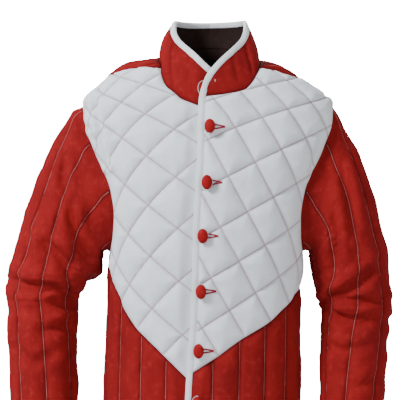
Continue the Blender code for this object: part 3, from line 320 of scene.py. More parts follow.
FOLDS = {
    Side.RIGHT: (
        Fold(((2.6, 52), (3.6, 72)), 0.009, 0.008),
        Fold(((3.9, 88), (4.8, 108)), 0.009, 0.009),
        Fold(((5.0, 114), (6.3, 140)), 0.010, 0.009),
        Fold(((6.3, 73), (6.5, 92), (7.2, 112)), 0.009, 0.010),
        Fold(((5.9, 22), (6.6, 46), (7.6, 60)), 0.010, 0.006),
        Fold(((8.4, 20), (9.0, 60), (9.3, 100), (10.4, 140)), 0.011, 0.013),
        Fold(((10.4, 98), (10.6, 130), (10.9, 165)), 0.009, 0.010),
        Fold(((11.6, 92), (11.5, 124), (11.4, 150)), 0.009, 0.007),
        Fold(((12.0, 45), (12.4, 77), (12.1, 123)), 0.009, 0.006),
        Fold(((7.6, 150), (8.4, 168), (9.0, 200)), 0.012, 0.010),
        Fold(((10.2, 200), (10.6, 300)), 0.013, 0.007),
    ),
    Side.LEFT: (
        Fold(((7.3, 45), (8.2, 85), (9.0, 113), (9.7, 149)), 0.010, 0.012),
        Fold(((9.6, 57), (9.5, 100), (9.8, 137)), 0.009, 0.009),
        Fold(((10.0, 160), (10.7, 130), (11.0, 100), (10.7, 62)), 0.009, 0.011),
        Fold(((2.2, 60), (4.2, 74), (5.9, 88)), 0.010, 0.005),
        Fold(((3.2, 96), (5.2, 104), (6.8, 118)), 0.009, 0.006),
        Fold(((6.0, 96), (7.0, 76), (7.8, 60)), 0.009, 0.005),
        Fold(((11.7, 60), (11.9, 112), (11.8, 143)), 0.009, 0.006),
        Fold(((12.6, 50), (12.8, 100)), 0.009, 0.005),
        Fold(((10.2, 200), (10.6, 300)), 0.013, 0.007),
    ),
}
CHEST_TROUGHS = {
    Side.RIGHT: (
        Trough((Spot(-0.200, -0.074), Spot(-0.1906, -0.118), Spot(-0.1758, -0.189)), 0.0070, 0.0078),
        Trough((Spot(-0.2100, -0.130), Spot(-0.1950, -0.160), Spot(-0.1850, -0.186)), 0.0080, 0.0030),
        Trough((Spot(-0.2250, -0.118), Spot(-0.2050, -0.124), Spot(-0.1900, -0.122)), 0.0075, 0.0022),
    ),
    Side.LEFT: (Trough((Spot(0.214, -0.100), Spot(0.207, -0.150), Spot(0.192, -0.200)), 0.0080, 0.0025),),
}
COLLAR_CENTRE = 0.0100
COLLAR_TOP = (
    Top(0.00, 0.0000, 0.058, 0.080), Top(0.17, 0.0310, 0.051, 0.080), Top(0.34, 0.0560, 0.028, 0.080),
    Top(0.50, 0.0660, -0.003, 0.079), Top(0.59, 0.0665, -0.025, 0.074), Top(0.67, 0.0630, -0.046, 0.057),
    Top(0.75, 0.0540, -0.064, 0.038), Top(0.83, 0.0390, -0.082, 0.021), Top(0.92, 0.0190, -0.096, 0.001),
)
COLLAR_END = {Side.RIGHT: Top(1.0, -0.0090, -0.096, -0.0240), Side.LEFT: Top(1.0, 0.0040, -0.105, -0.0150)}
COLLAR_BULGE = {Side.RIGHT: 0.0095, Side.LEFT: 0.0045}
COLLAR_CORNER = 0.006
BINDING_TUCK = 0.0040
COLLAR_BINDING_END = {Side.RIGHT: 1.0, Side.LEFT: 0.955}


def smooth(at: Any, xs: Sequence[float], ys: Sequence[float]) -> Array:
    """The curve through a table that never overshoots between two rows.

    Args:
        at: Where to read it.
        xs: The rows' places, all rising or all falling.
        ys: The rows' values.

    Returns:
        The values.
    """
    x, y = np.asarray(xs, float), np.asarray(ys, float)
    if x[0] > x[-1]:
        x, y = x[::-1], y[::-1]
    step = np.diff(x)
    slope = np.diff(y) / step
    tangent = np.empty_like(y)
    product = slope[1:] * slope[:-1]
    tangent[1:-1] = np.where(product > 0, 2 * product / (slope[1:] + slope[:-1] + 1e-30), 0.0)
    tangent[0], tangent[-1] = slope[0], slope[-1]
    at = np.clip(at, x[0], x[-1])
    i = np.clip(np.searchsorted(x, at) - 1, 0, len(step) - 1)
    t = (at - x[i]) / step[i]
    return (
        (1 + 2 * t) * (1 - t) ** 2 * y[i]
        + t * (1 - t) ** 2 * step[i] * tangent[i]
        + t * t * (3 - 2 * t) * y[i + 1]
        + t * t * (t - 1) * step[i] * tangent[i + 1]
    )


def column(table: Sequence[Any], key: str, name: str, at: Any) -> Array:
    """One named column of a table, read at values of another.

    Args:
        table: The rows.
        key: The column that `at` belongs to.
        name: The column to read.
        at: Where to read it.

    Returns:
        The values.
    """
    return smooth(at, [getattr(row, key) for row in table], [getattr(row, name) for row in table])


def ramp(value: Any, start: float, end: float) -> Array:
    """0 before `start` and 1 after `end`, with a smooth rise between."""
    t = np.clip((np.asarray(value, float) - start) / (end - start), 0.0, 1.0)
    return t * t * (3 - 2 * t)


def unit(vectors: Array) -> Array:
    """Vectors scaled to a length of one."""
    return vectors / (np.linalg.norm(vectors, axis=-1, keepdims=True) + 1e-12)


def lengths(points: Array) -> Array:
    """How far along a line each of its points is."""
    return np.concatenate([[0.0], np.cumsum(np.linalg.norm(np.diff(points, axis=0), axis=1))])


def linked(name: str, data: Any) -> bpy.types.Object:
    """Makes an object of a mesh, lamp or camera and puts it in the scene.

    Args:
        name: The name of the object.
        data: What it shows.

    Returns:
        The object.
    """
    made = bpy.data.objects.new(name, data)
    bpy.context.scene.collection.objects.link(made)
    return made


def uneven(places: Array, cell: float, seed: int) -> Array:
    """Soft unevenness from -1 to 1 over flat places.

    Args:
        places: Two coordinates a row, in metres.
        cell: The size of one swell.
        seed: Which pattern.

    Returns:
        One value a row.
    """
    grid = places / cell
    low = np.floor(grid).astype(np.int64)
    t = grid - low
    t = t * t * (3 - 2 * t)

    def corner(right: int, up: int) -> Array:
        """The fixed random value of one corner of each cell."""
        n = ((low[:, 0] + right) * 374761393 + (low[:, 1] + up) * 668265263 + seed * 974634777) & 0x7FFFFFFF
        n = ((n ^ (n >> 13)) * 1274126177) & 0x7FFFFFFF
        return ((n ^ (n >> 16)) & 0xFFFF) / 32767.5 - 1

    upper = corner(0, 0) * (1 - t[:, 0]) + corner(1, 0) * t[:, 0]
    lower = corner(0, 1) * (1 - t[:, 0]) + corner(1, 1) * t[:, 0]
    return upper * (1 - t[:, 1]) + lower * t[:, 1]


class Torso:
    """The outline of the jacket's body, addressed by arc from the centre front and drop from the neck."""

    ROWS, TURNS = 420, 481

    def __init__(self) -> None:
        """Reads the sections into tables of places."""
        z = np.linspace(TORSO_SECTIONS[0].z, TORSO_SECTIONS[-1].z, 2400)
        stretch = 1 + 0.6 / (1 + np.exp((-z - 0.11) / 0.02)) + 1.4 / (1 + np.exp((-z - 0.03) / 0.008))
        self.z_fine = z
        self.drop_fine = np.concatenate([[0.0], np.cumsum(stretch[1:] * -np.diff(z))])
        self.drops = np.linspace(0, self.drop_fine[-1], self.ROWS)
        rows = np.interp(self.drops, self.drop_fine, z)
        width, front, back, square = (
            column(TORSO_SECTIONS, "z", name, rows)[:, None]
            for name in ("half_width", "front_depth", "back_depth", "squareness")
        )
        turn = np.linspace(0, math.pi, 4 * self.TURNS)[None, :]
        x = width * np.abs(np.sin(turn)) ** (2 / square)
        depth = np.abs(np.cos(turn)) ** (2 / square)
        y = np.where(turn < math.pi / 2, -front * depth, back * depth)
        steps = np.hypot(np.diff(x), np.diff(y))
        arc = np.concatenate([np.zeros((self.ROWS, 1)), np.cumsum(steps, axis=1)], 1)
        share = np.linspace(0, 1, self.TURNS)
        self.half_girths = arc[:, -1]
        self.sides = np.array([np.interp(math.pi / 2, turn[0], row) for row in arc])
        self.x = np.array([np.interp(share * row[-1], row, xs) for row, xs in zip(arc, x)])
        self.y = np.array([np.interp(share * row[-1], row, ys) for row, ys in zip(arc, y)])

    def drop_at(self, z: Any) -> Array:
        """The drop of a height."""
        return np.interp(-np.asarray(z, float), -self.z_fine, self.drop_fine)

    def z_at(self, drop: Any) -> Array:
        """The height of a drop."""
        return np.interp(drop, self.drop_fine, self.z_fine)

    def side(self, drop: Any) -> Array:
        """The arc from the centre front to the widest point."""
        return np.interp(drop, self.drops, self.sides)

    def girth(self, drop: Any) -> Array:
        """The arc from the centre front to the centre back."""
        return np.interp(drop, self.drops, self.half_girths)

    def arc_at(self, x: float, z: float) -> float:
        """The arc of the front point at a width and height, signed as x is from the centre."""
        drop = float(self.drop_at(z))
        off = x - float(column(TORSO_SECTIONS, "z", "centre", z))
        row = self.x[int(round(drop / self.drops[-1] * (self.ROWS - 1)))]
        middle = int(np.argmax(row))
        arcs = np.linspace(0, float(self.girth(drop)), self.TURNS)
        return math.copysign(float(np.interp(abs(off), row[: middle + 1], arcs[: middle + 1])), off)

    def point(self, arc: Any, drop: Any) -> Array:
        """Places on the outline."""
        drop = np.clip(np.asarray(drop, float), 0, self.drops[-1])
        arc, drop = np.broadcast_arrays(np.asarray(arc, float), drop)
        row = drop / self.drops[-1] * (self.ROWS - 1)
        i = np.clip(row.astype(int), 0, self.ROWS - 2)
        f = row - i
        turn = np.clip(np.abs(arc) / self.girth(drop), 0, 1) * (self.TURNS - 1)
        j = np.clip(turn.astype(int), 0, self.TURNS - 2)
        g = turn - j

        def read(table: Array) -> Array:
            """Values between four neighbours of a table."""
            upper = table[i, j] * (1 - g) + table[i, j + 1] * g
            lower = table[i + 1, j] * (1 - g) + table[i + 1, j + 1] * g
            return upper * (1 - f) + lower * f

        z = self.z_at(drop)
        x = np.sign(arc) * read(self.x) + column(TORSO_SECTIONS, "z", "centre", z)
        return np.stack([x, read(self.y), z], axis=-1)

    def frame(self, arc: Any, drop: Any) -> Placed:
        """Places on the outline with their outward unit normals."""
        arc, drop = np.broadcast_arrays(np.asarray(arc, float), np.asarray(drop, float))
        across = self.point(arc + 0.003, drop) - self.point(arc - 0.003, drop)
        down = self.point(arc, drop + 0.004) - self.point(arc, drop - 0.004)
        return self.point(arc, drop), unit(np.cross(down, across))


TORSO = Torso()


def arcs_of(spots: Sequence[Spot]) -> Line:
    """Arc and drop of places on the front given by width and height."""
    return [(TORSO.arc_at(spot.x, spot.z), float(TORSO.drop_at(spot.z))) for spot in spots]


def along(points: Spots, spacing: float) -> Line:
    """A smooth line through (arc, drop) points.

    Args:
        points: The places that it passes through.
        spacing: About how far apart its points are, in real length.

    Returns:
        The line's points.
    """
    given = np.array(points, float)
    padded = np.vstack([2 * given[0] - given[1], given, 2 * given[-1] - given[-2]])
    fine = []
    for k in range(1, len(padded) - 2):
        a, b, c, d = padded[k - 1 : k + 3]
        t = np.linspace(0, 1, 24, endpoint=False)[:, None]
        squared, cubed = 2 * a - 5 * b + 4 * c - d, 3 * b - a - 3 * c + d
        fine.append(0.5 * (2 * b + (c - a) * t + squared * t**2 + cubed * t**3))
    line = np.vstack(fine + [given[-1:]])
    place = TORSO.point(line[:, 0], line[:, 1])
    length = lengths(place)
    at = np.linspace(0, length[-1], max(1, round(length[-1] / spacing)) + 1)
    return list(zip(np.interp(at, length, line[:, 0]).tolist(), np.interp(at, length, line[:, 1]).tolist()))


def join(*lines: Spots) -> Line:
    """One line out of several that meet end to end."""
    whole = list(lines[0])
    for line in lines[1:]:
        whole += list(line)[1:]
    return whole


def edge_arc(drop: Any) -> Array:
    """The arc of the middle of the front edge binding."""
    z = TORSO.z_at(drop)
    return column(FRONT_EDGE, "z", "x", z) - column(TORSO_SECTIONS, "z", "centre", z)


def near_edge(side: Side, drop: Any) -> Array:
    """The arc of a panel's edge along the front opening: under the other front, or beside the binding."""
    return edge_arc(drop) + (WALL.underlap if side is Side.RIGHT else WALL.edge_set)


def lap_lift(arc: Any, drop: Any) -> Array:
    """How far the overlapping front is lifted off the one beneath it."""
    off = np.asarray(arc, float) - edge_arc(drop)
    return WALL.lap_lift * (1 - ramp(off, 0.042, 0.090))


def lap_free(arc: Any, drop: Any) -> Array:
    """0 where the under front is pressed flat by the other, and 1 away from it."""
    return 1 - ramp(np.asarray(arc, float) - edge_arc(drop), -0.030, -0.008)


def armhole_spots(side: Side, turns: Array) -> Array:
    """Arc and drop on the armhole, where turn 0 is the shoulder, 90 the front and 180 the underarm."""
    turns = np.asarray(turns, float) % 360
    half = 0.5 * (-SHOULDER_END - UNDERARM)
    drop = TORSO.drop_at(0.5 * (-SHOULDER_END + UNDERARM) + half * np.cos(np.radians(turns)))
    front = -column(ARMHOLE, "turn", "front", np.minimum(turns, 180))
    back = column(ARMHOLE, "turn", "back", 360 - np.maximum(turns, 180))
    reach = np.where(turns <= 180, front, back)
    return np.stack([side.value * (TORSO.side(drop) + reach), drop], axis=-1)


def spokes(side: Side, row: float, divisions: int) -> Array:
    """The turns around a sleeve at one row, a fixed number for each quilted channel."""
    turns = [float(smooth(row, SLEEVE_LINE_ROWS, line)) for line in SLEEVE_LINES[side]]
    turns.append(turns[0] + 360)
    steps = np.arange(divisions) / divisions
    return np.concatenate([start + (end - start) * steps for start, end in zip(turns[:-1], turns[1:])])


class Seams:
    """The lines where the panels of one side meet, each as (arc, drop) points that both neighbours use."""

    SPACING = 0.0036
    ARMHOLE_DIVISIONS = 20

    def __init__(self, side: Side) -> None:
        """Draws the lines.

        Args:
            side: The wearer's side.
        """
        self.side = side
        neck = arcs_of(NECK[side])
        start = float(near_edge(side, neck[0][1]))
        drop = neck[0][1] + (0.005 if side is Side.RIGHT else 0.0)
        self.neck = along([(start, drop)] + neck[(0 if side is Side.RIGHT else 1) :], self.SPACING)
        top = float(TORSO.drop_at(-SHOULDER_END))
        tip = [(side.value * float(TORSO.side(d)), d) for d in (float(TORSO.drop_at(-z)) for z in RIDGE)]
        tip.append((side.value * float(TORSO.side(top)), top))
        self.shoulder = along([neck[-1]] + arcs_of(SHOULDER[side]) + tip, self.SPACING)
        turns = np.sort(spokes(side, 0, self.ARMHOLE_DIVISIONS) % 360)
        front = np.concatenate([[0.0], turns[(turns > 0.5) & (turns < 179.5)], [180.0]])
        back = np.concatenate([[180.0], turns[turns > 180.5], [360.0]])
        self.armhole_front = [tuple(spot) for spot in armhole_spots(side, front).tolist()]
        self.armhole_back = [tuple(spot) for spot in armhole_spots(side, back).tolist()]
        self.side_upper = self.side_line(UNDERARM, CHEST_END[side])
        self.side_lower = self.side_line(CHEST_END[side], HEM)
        self.chest_edge = along([self.side_lower[0]] + arcs_of(CHEST_EDGE[side]), self.SPACING)
        self.neck_back = self.back_of_neck(neck[-1])

    def side_line(self, start: float, end: float) -> Line:
        """The side seam between two heights."""
        drops = (float(TORSO.drop_at(z)) for z in (start, 0.5 * (start + end), end))
        return along([(self.side.value * float(TORSO.side(drop)), drop) for drop in drops], self.SPACING)

    def back_of_neck(self, start: tuple[float, float]) -> Line:
        """The neck seam from the shoulder to the centre back."""
        sign = self.side.value
        heights = (NECK_BACK_SIDE[self.side], NECK_BEHIND_SHOULDER, NECK_BACK_BEHIND, NECK_BACK_MIDDLE)
        ridge, between, behind, middle = (float(TORSO.drop_at(z)) for z in heights)
        points = [
            start,
            (TORSO.arc_at(NECK[self.side][-1].x * 1.03, NECK_BEHIND_SHOULDER), between),
            (sign * float(TORSO.side(ridge)), ridge),
            (sign * (0.45 * float(TORSO.side(behind)) + 0.55 * float(TORSO.girth(behind))), behind),
            (sign * float(TORSO.girth(middle)), middle),
        ]
        return along(points, self.SPACING)


@dataclass
class Nearest:
    """The nearest point of sewing to each of many places."""

    gap: Array
    run: Array
    line: Array


def nearest(lines: Sequence[Any], places: Array, chunk: int = 3000) -> Nearest:
    """The nearest of several lines to each place.

    Args:
        lines: Lines of (arc, drop) points.
        places: One (arc, drop) a row.
        chunk: How many places are worked out together.

    Returns:
        The distances, how far along its line each nearest point is, and the line's number.
    """
    starts, steps, runs, numbers = [], [], [], []
    for number, line in enumerate(lines):
        line = np.asarray(line, float)
        step = np.diff(line, axis=0)
        length = np.linalg.norm(step, axis=1)
        starts.append(line[:-1])
        steps.append(step)
        runs.append(np.concatenate([[0.0], np.cumsum(length)[:-1]]))
        numbers.append(np.full(len(step), number))
    start, step = np.vstack(starts), np.vstack(steps)
    run, number = np.concatenate(runs), np.concatenate(numbers)
    squared = (step**2).sum(-1) + 1e-15
    gaps, ways, owners = [], [], []
    for first in range(0, len(places), chunk):
        away = places[first : first + chunk, None, :] - start[None]
        t = np.clip((away * step).sum(-1) / squared, 0, 1)
        gap = np.hypot(away[..., 0] - t * step[:, 0], away[..., 1] - t * step[:, 1])
        best = gap.argmin(axis=1)
        rows = np.arange(len(best))
        gaps.append(gap[rows, best])
        ways.append(run[best] + t[rows, best] * np.sqrt(squared[best]))
        owners.append(number[best])
    return Nearest(np.concatenate(gaps), np.concatenate(ways), np.concatenate(owners))


def inside(outline: Array, places: Array, chunk: int = 6000) -> Array:
    """Which places lie within a closed outline."""
    a, b = outline, np.roll(outline, -1, axis=0)
    slope = (b[:, 0] - a[:, 0]) / np.where(np.abs(b[:, 1] - a[:, 1]) < 1e-12, 1e-12, b[:, 1] - a[:, 1])
    found = []
    for first in range(0, len(places), chunk):
        x, y = places[first : first + chunk, :1], places[first : first + chunk, 1:]
        crossing = ((a[:, 1] > y) != (b[:, 1] > y)) & (x < slope * (y - a[:, 1]) + a[:, 0])
        found.append(crossing.sum(axis=1) % 2 == 1)
    return np.concatenate(found)


def diamond_lines(side: Side, step: float = 0.1) -> list[Line]:
    """The two crossing sets of quilting lines over a chest."""
    q = DIAMONDS[side]

    def spot(down: float, across: float) -> tuple[float, float]:
        """Arc and drop of a place counted in diamonds down and across."""
        arc = q.arc + q.down_arc * down + q.across_arc * across
        arc += q.bend_dd * down**2 + q.bend_dc * down * across + q.bend_cc * across**2
        drop = q.drop + q.down_drop * down + q.across_drop * across
        drop += q.d2 * down**2 + q.dc * down * across + q.c2 * across**2
        return arc, drop

    counts = [-1 + step * k for k in range(int(round(11 / step)) + 1)]
    lines = [[spot(down, across) for across in counts] for down in range(-1, 9)]
    return lines + [[spot(down, across) for down in counts] for across in range(-1, 10)]


def channel_lines(arcs: Sequence[float], top: float, bottom: float, step: float = 0.01) -> list[Any]:
    """Upright quilting lines at the given arcs."""
    drops = np.linspace(top, bottom, int(round((bottom - top) / step)) + 1)
    return [[(arc, drop) for drop in drops.tolist()] for arc in arcs]


def runs_within(outline: Array, lines: Sequence[Any], margin: float, spacing: float) -> list[Array]:
    """The stretches of the lines inside an outline.

    Args:
        outline: The closed outline.
        lines: The lines.
        margin: How far they stay from the outline.
        spacing: How far apart the points of each stretch are.

    Returns:
        The stretches.
    """
    closed = np.vstack([outline, outline[:1]])
    runs = []
    for line in lines:
        line = np.asarray(line, float)
        length = lengths(line)
        at = np.linspace(0, length[-1], max(2, int(length[-1] / spacing)))
        fine = np.stack([np.interp(at, length, line[:, k]) for k in (0, 1)], axis=1)
        good = inside(outline, fine) & (nearest([closed], fine).gap > margin)
        breaks = np.flatnonzero(np.diff(np.concatenate([[0], good.astype(int), [0]])))
        runs += [fine[a:b] for a, b in zip(breaks[::2], breaks[1::2]) if b - a > 2]
    return runs


def triangulate(outline: Array, places: Array, lines: Sequence[Array] = ()) -> tuple[Array, Array, Array]:
    """Triangles over an outline and the places inside it, keeping each line as edges.

    Args:
        outline: The closed outline.
        places: Places inside it.
        lines: Lines inside it.

    Returns:
        The places, the triangles, and the outline's points among the places.
    """
    coords = [Vector(p) for p in outline] + [Vector(p) for p in places]
    edges: list[tuple[int, int]] = []
    for line in lines:
        first = len(coords)
        coords += [Vector(p) for p in line]
        edges += [(first + k, first + k + 1) for k in range(len(line) - 1)]
    result = delaunay_2d_cdt(coords, edges, [list(range(len(outline)))], 1, 1e-6)
    order = {source: k for k, sources in enumerate(result[3]) for source in sources}
    rim = np.array([order[k] for k in range(len(outline))])
    return np.array([tuple(v) for v in result[0]]), np.array([tuple(f) for f in result[2]]), rim


def even_grid(outline: Array, across: float, down: float, margin: float) -> Array:
    """A grid of places inside an outline, every second row moved by half a step."""
    low, high = outline.min(axis=0), outline.max(axis=0)
    columns, rows = (int(count) + 2 for count in (high - low) / (across, down))
    i, j = np.meshgrid(np.arange(columns), np.arange(rows), indexing="ij")
    shifted = i + 0.5 * (j % 2)
    grid = np.stack([low[0] + across * shifted.ravel(), low[1] + down * (j.ravel() + 0.5)], axis=1)
    grid = grid[inside(outline, grid)]
    return grid[nearest([np.vstack([outline, outline[:1]])], grid).gap > margin]


@dataclass(frozen=True)
class Padding:
    """How padding swells and puckers between rows of sewing."""

    rise: float = 0.0078
    rounding: float = 0.0100
    pucker: float = 0.0012
    pucker_reach: float = 0.011
    pucker_cell: float = 0.0085
    swell: float = 0.0008
    swell_cell: float = 0.045
    ripple: float = 0.00025
    ripple_cell: float = 0.011

    def height(self, near: Nearest, places: Array, seed: int) -> Array:
        """How far the cloth stands over the height that it is sewn down to.

        Args:
            near: The nearest sewing to each place.
            places: The places, in metres over the cloth.
            seed: Which unevenness.

        Returns:
            One height a place.
        """
        rise = self.rise * (1 - np.exp(-near.gap / self.rounding))
        across = np.stack([near.run + 0.37 * near.line, 0.35 * near.gap], axis=1)
        drawn = uneven(across, self.pucker_cell, seed)
        drawn += 0.5 * uneven(across, 0.5 * self.pucker_cell, seed + 1)
        fade = (1 - np.exp(-near.gap / 0.0022)) * np.exp(-near.gap / self.pucker_reach)
        swell = self.swell * uneven(places, self.swell_cell, seed + 2)
        ripple = self.ripple * uneven(places, self.ripple_cell, seed + 3)
        return rise + self.pucker * drawn * fade + (swell + ripple) * (1 - np.exp(-near.gap / 0.006))


@dataclass
class Shape:
    """A mesh as arrays, with a flat place and a closeness to sewing for each vertex, along which the material
    paints shade.
    """

    points: Array
    faces: list[tuple[int, ...]]
    flat: Array
    sewn: Array
    lined_from: int | None = None

    def build(self, name: str, cloth: "Finish", lining: "Finish | None" = None) -> bpy.types.Object:
        """The object of this mesh, turned to face outward.

        Args:
            name: The piece's name.
            cloth: The finish of its outside.
            lining: The finish of the faces from `lined_from` on.

        Returns:
            The object.
        """
        mesh = bpy.data.meshes.new(name)
        mesh.from_pydata(self.points.tolist(), [], self.faces)
        corners = np.array([face[:3] for face in self.faces])
        a, b, c = (self.points[corners[:, k]] for k in range(3))
        volume = float((a * np.cross(b, c)).sum())
        if all(len(face) == 4 for face in self.faces[:50]):
            d = self.points[np.array([face[-1] for face in self.faces])]
            volume += float((a * np.cross(c, d)).sum())
        if volume < 0:
            mesh.flip_normals()
        loops = np.empty(len(mesh.loops), np.int32)
        mesh.loops.foreach_get("vertex_index", loops)
        layer = mesh.uv_layers.new(name="cloth")
        layer.data.foreach_set("uv", self.flat[loops].astype(np.float32).ravel())
        # Closeness to sewing, along which the material paints shade into the stitched grooves.
        sewn = mesh.attributes.new("sewn", "FLOAT", "POINT")
        sewn.data.foreach_set("value", self.sewn.astype(np.float32))
        mesh.materials.append(cloth.material())
        if lining is not None and self.lined_from is not None:
            mesh.materials.append(lining.material())
            index = np.zeros(len(mesh.polygons), np.int32)
            index[self.lined_from :] = 1
            mesh.polygons.foreach_set("material_index", index)
        mesh.polygons.foreach_set("use_smooth", np.ones(len(mesh.polygons), bool))
        mesh.set_sharp_from_angle(angle=math.radians(58))
        mesh.update()
        return linked(name, mesh)



def back_place(arc: Any, drop: Any) -> Placed:
    """Place and normal on the back, by arc from the centre back."""
    front = np.where(np.asarray(arc) < 0, -1.0, 1.0) * (TORSO.girth(drop) - np.abs(arc))
    return TORSO.frame(front, drop)


def from_back(points: Spots) -> Line:
    """Front (arc, drop) points as ones counted from the centre back."""
    return [(math.copysign(float(TORSO.girth(drop)) - abs(arc), arc), drop) for arc, drop in points]


@dataclass
class Panel:
    """A cut piece of padded cloth on the body."""

    name: str
    outline: Spots
    lines: list[Any]
    place: Callable[[Any, Any], Placed]
    seed: int
    lift: Callable[[Any, Any], Array] | None = None
    free: Callable[[Any, Any], Array] | None = None
    troughs: tuple[Trough, ...] = ()
    thinner: tuple[Spots, ...] = ()
    padding: Padding = Padding()
    grain: float = 0.0034
    sides: Array = field(init=False)
    runs: list[Array] = field(init=False)

    def __post_init__(self) -> None:
        """Cleans the outline and cuts the quilting lines to it."""
        points = [p for k, p in enumerate(self.outline) if math.dist(p, self.outline[k - 1]) > 4e-4]
        self.sides = np.array(points, float)
        self.runs = runs_within(self.sides, self.lines, 0.0022, 0.0030)

    def height(self, spots: Array, near: Nearest | None = None) -> Array:
        """Height of the outer face over the inner one.

        Args:
            spots: Places as (arc, drop).
            near: The nearest sewing to them, if it is known.

        Returns:
            One height a place.
        """
        near = near or self.sewing(spots)
        rise = self.padding.height(near, spots, self.seed)
        if self.thinner:
            rise *= 0.30 + 0.70 * ramp(nearest(self.thinner, spots).gap, 0.0, 0.040)
        for trough in self.troughs:
            line = along(arcs_of(trough.path), 0.004)
            away = nearest([line], spots)
            end = np.clip(away.run / (0.25 * float(away.run.max() + 1e-6)), 0, 1)
            rise -= trough.depth * np.exp(-((away.gap / trough.width) ** 2)) * (0.35 + 0.65 * end)
            rise += 0.45 * trough.depth * np.exp(-(((away.gap - 1.9 * trough.width) / trough.width) ** 2))
        wall = np.maximum(WALL.sewn + rise, 0.0022)
        if self.free is None:
            return wall
        free = self.free(spots[:, 0], spots[:, 1])
        return WALL.lap_wall + free * (wall - WALL.lap_wall)

    def sewing(self, spots: Array) -> Nearest:
        """The nearest row of sewing or edge to each place."""
        return nearest(self.runs + [np.vstack([self.sides, self.sides[:1]])], spots)

    def outer(self, spots: Array, height: Array) -> Array:
        """Places at a height over the inner face."""
        base, normal = self.place(spots[:, 0], spots[:, 1])
        if self.lift is not None:
            height = height + self.lift(spots[:, 0], spots[:, 1])
        return base + normal * (height - WALL.inside)[:, None]

    def rimmed(self, spots: Array, rim: Array, height: Array) -> Array:
        """Places at a height over the inner face, with the rim drawn back by half a seam gap."""
        points = self.outer(spots, height)
        base, normal = self.place(spots[rim, 0], spots[rim, 1])
        run = np.roll(base, -1, axis=0) - np.roll(base, 1, axis=0)
        inward = unit(np.cross(normal, run))
        following = np.roll(self.sides, -1, axis=0)
        step = following - np.roll(self.sides, 1, axis=0)
        area = (self.sides[:, 0] * following[:, 1] - following[:, 0] * self.sides[:, 1]).sum()
        step = unit(step) * float(np.sign(area)) * 0.002
        within = self.place(self.sides[:, 0] - step[:, 1], self.sides[:, 1] + step[:, 0])[0]
        turn = float(np.sign(((within - base) * inward).sum()))
        points[rim] += inward * (turn * WALL.seam_gap / 2)
        return points

    def shape(self) -> Shape:
        """The closed mesh of the panel."""
        grid = even_grid(self.sides, self.grain, self.grain * 0.87, 0.45 * self.grain)
        grid = grid[nearest(self.runs, grid).gap > 0.45 * self.grain] if self.runs else grid
        outer, outer_faces, outer_rim = triangulate(self.sides, grid, self.runs)
        inner, inner_faces, inner_rim = triangulate(self.sides, even_grid(self.sides, 0.016, 0.016, 0.006))
        near = self.sewing(outer)
        top = self.rimmed(outer, outer_rim, self.height(outer, near))
        bottom = self.rimmed(inner, inner_rim, np.zeros(len(inner)))
        shift = len(top)
        a, b = np.roll(outer_rim, 1), outer_rim
        c, d = shift + np.roll(inner_rim, 1), shift + inner_rim
        faces = np.vstack([outer_faces, np.stack([a, c, b], 1), np.stack([b, c, d], 1)])
        lined = shift + inner_faces[:, ::-1]
        if signed(top, outer_faces, self.place(outer[:, 0], outer[:, 1])[1]) < 0:
            faces, lined = faces[:, ::-1], lined[:, ::-1]
        return Shape(
            np.vstack([top, bottom]),
            [tuple(face) for face in np.vstack([faces, lined]).tolist()],
            np.vstack([outer, inner]),
            # Closeness to sewing and to the panel's edges, where the material paints shade into the grooves.
            np.concatenate([np.exp(-near.gap / 0.0020), np.zeros(len(inner))]),
            len(faces),
        )

    def stitch_paths(self) -> list[Placed]:
        """Each row of sewing as places on the cloth and the cloth's normals there."""
        paths = []
        for run in self.runs:
            paths.append((self.outer(run, self.height(run)), self.place(run[:, 0], run[:, 1])[1]))
        return paths

    def cloth_size(self) -> tuple[float, float, float]:
        """Width, length and area of the cut piece, in metres."""
        places, faces, _ = triangulate(self.sides, even_grid(self.sides, 0.02, 0.02, 0.006))
        base = self.place(places[:, 0], places[:, 1])[0]
        sides = np.cross(base[faces[:, 1]] - base[faces[:, 0]], base[faces[:, 2]] - base[faces[:, 0]])
        area = float(0.5 * np.linalg.norm(sides, axis=1).sum())
        width = float(np.ptp(self.sides[:, 0]))
        return width, max(area / width * 1.02, float(np.ptp(base[:, 2]))), area


def signed(points: Array, faces: Array, normals: Array) -> float:
    """Above 0 where most faces look the way that the normals do."""
    a, b, c = (points[faces[:, k]] for k in range(3))
    return float((np.cross(b - a, c - a) * normals[faces[:, 0]]).sum())


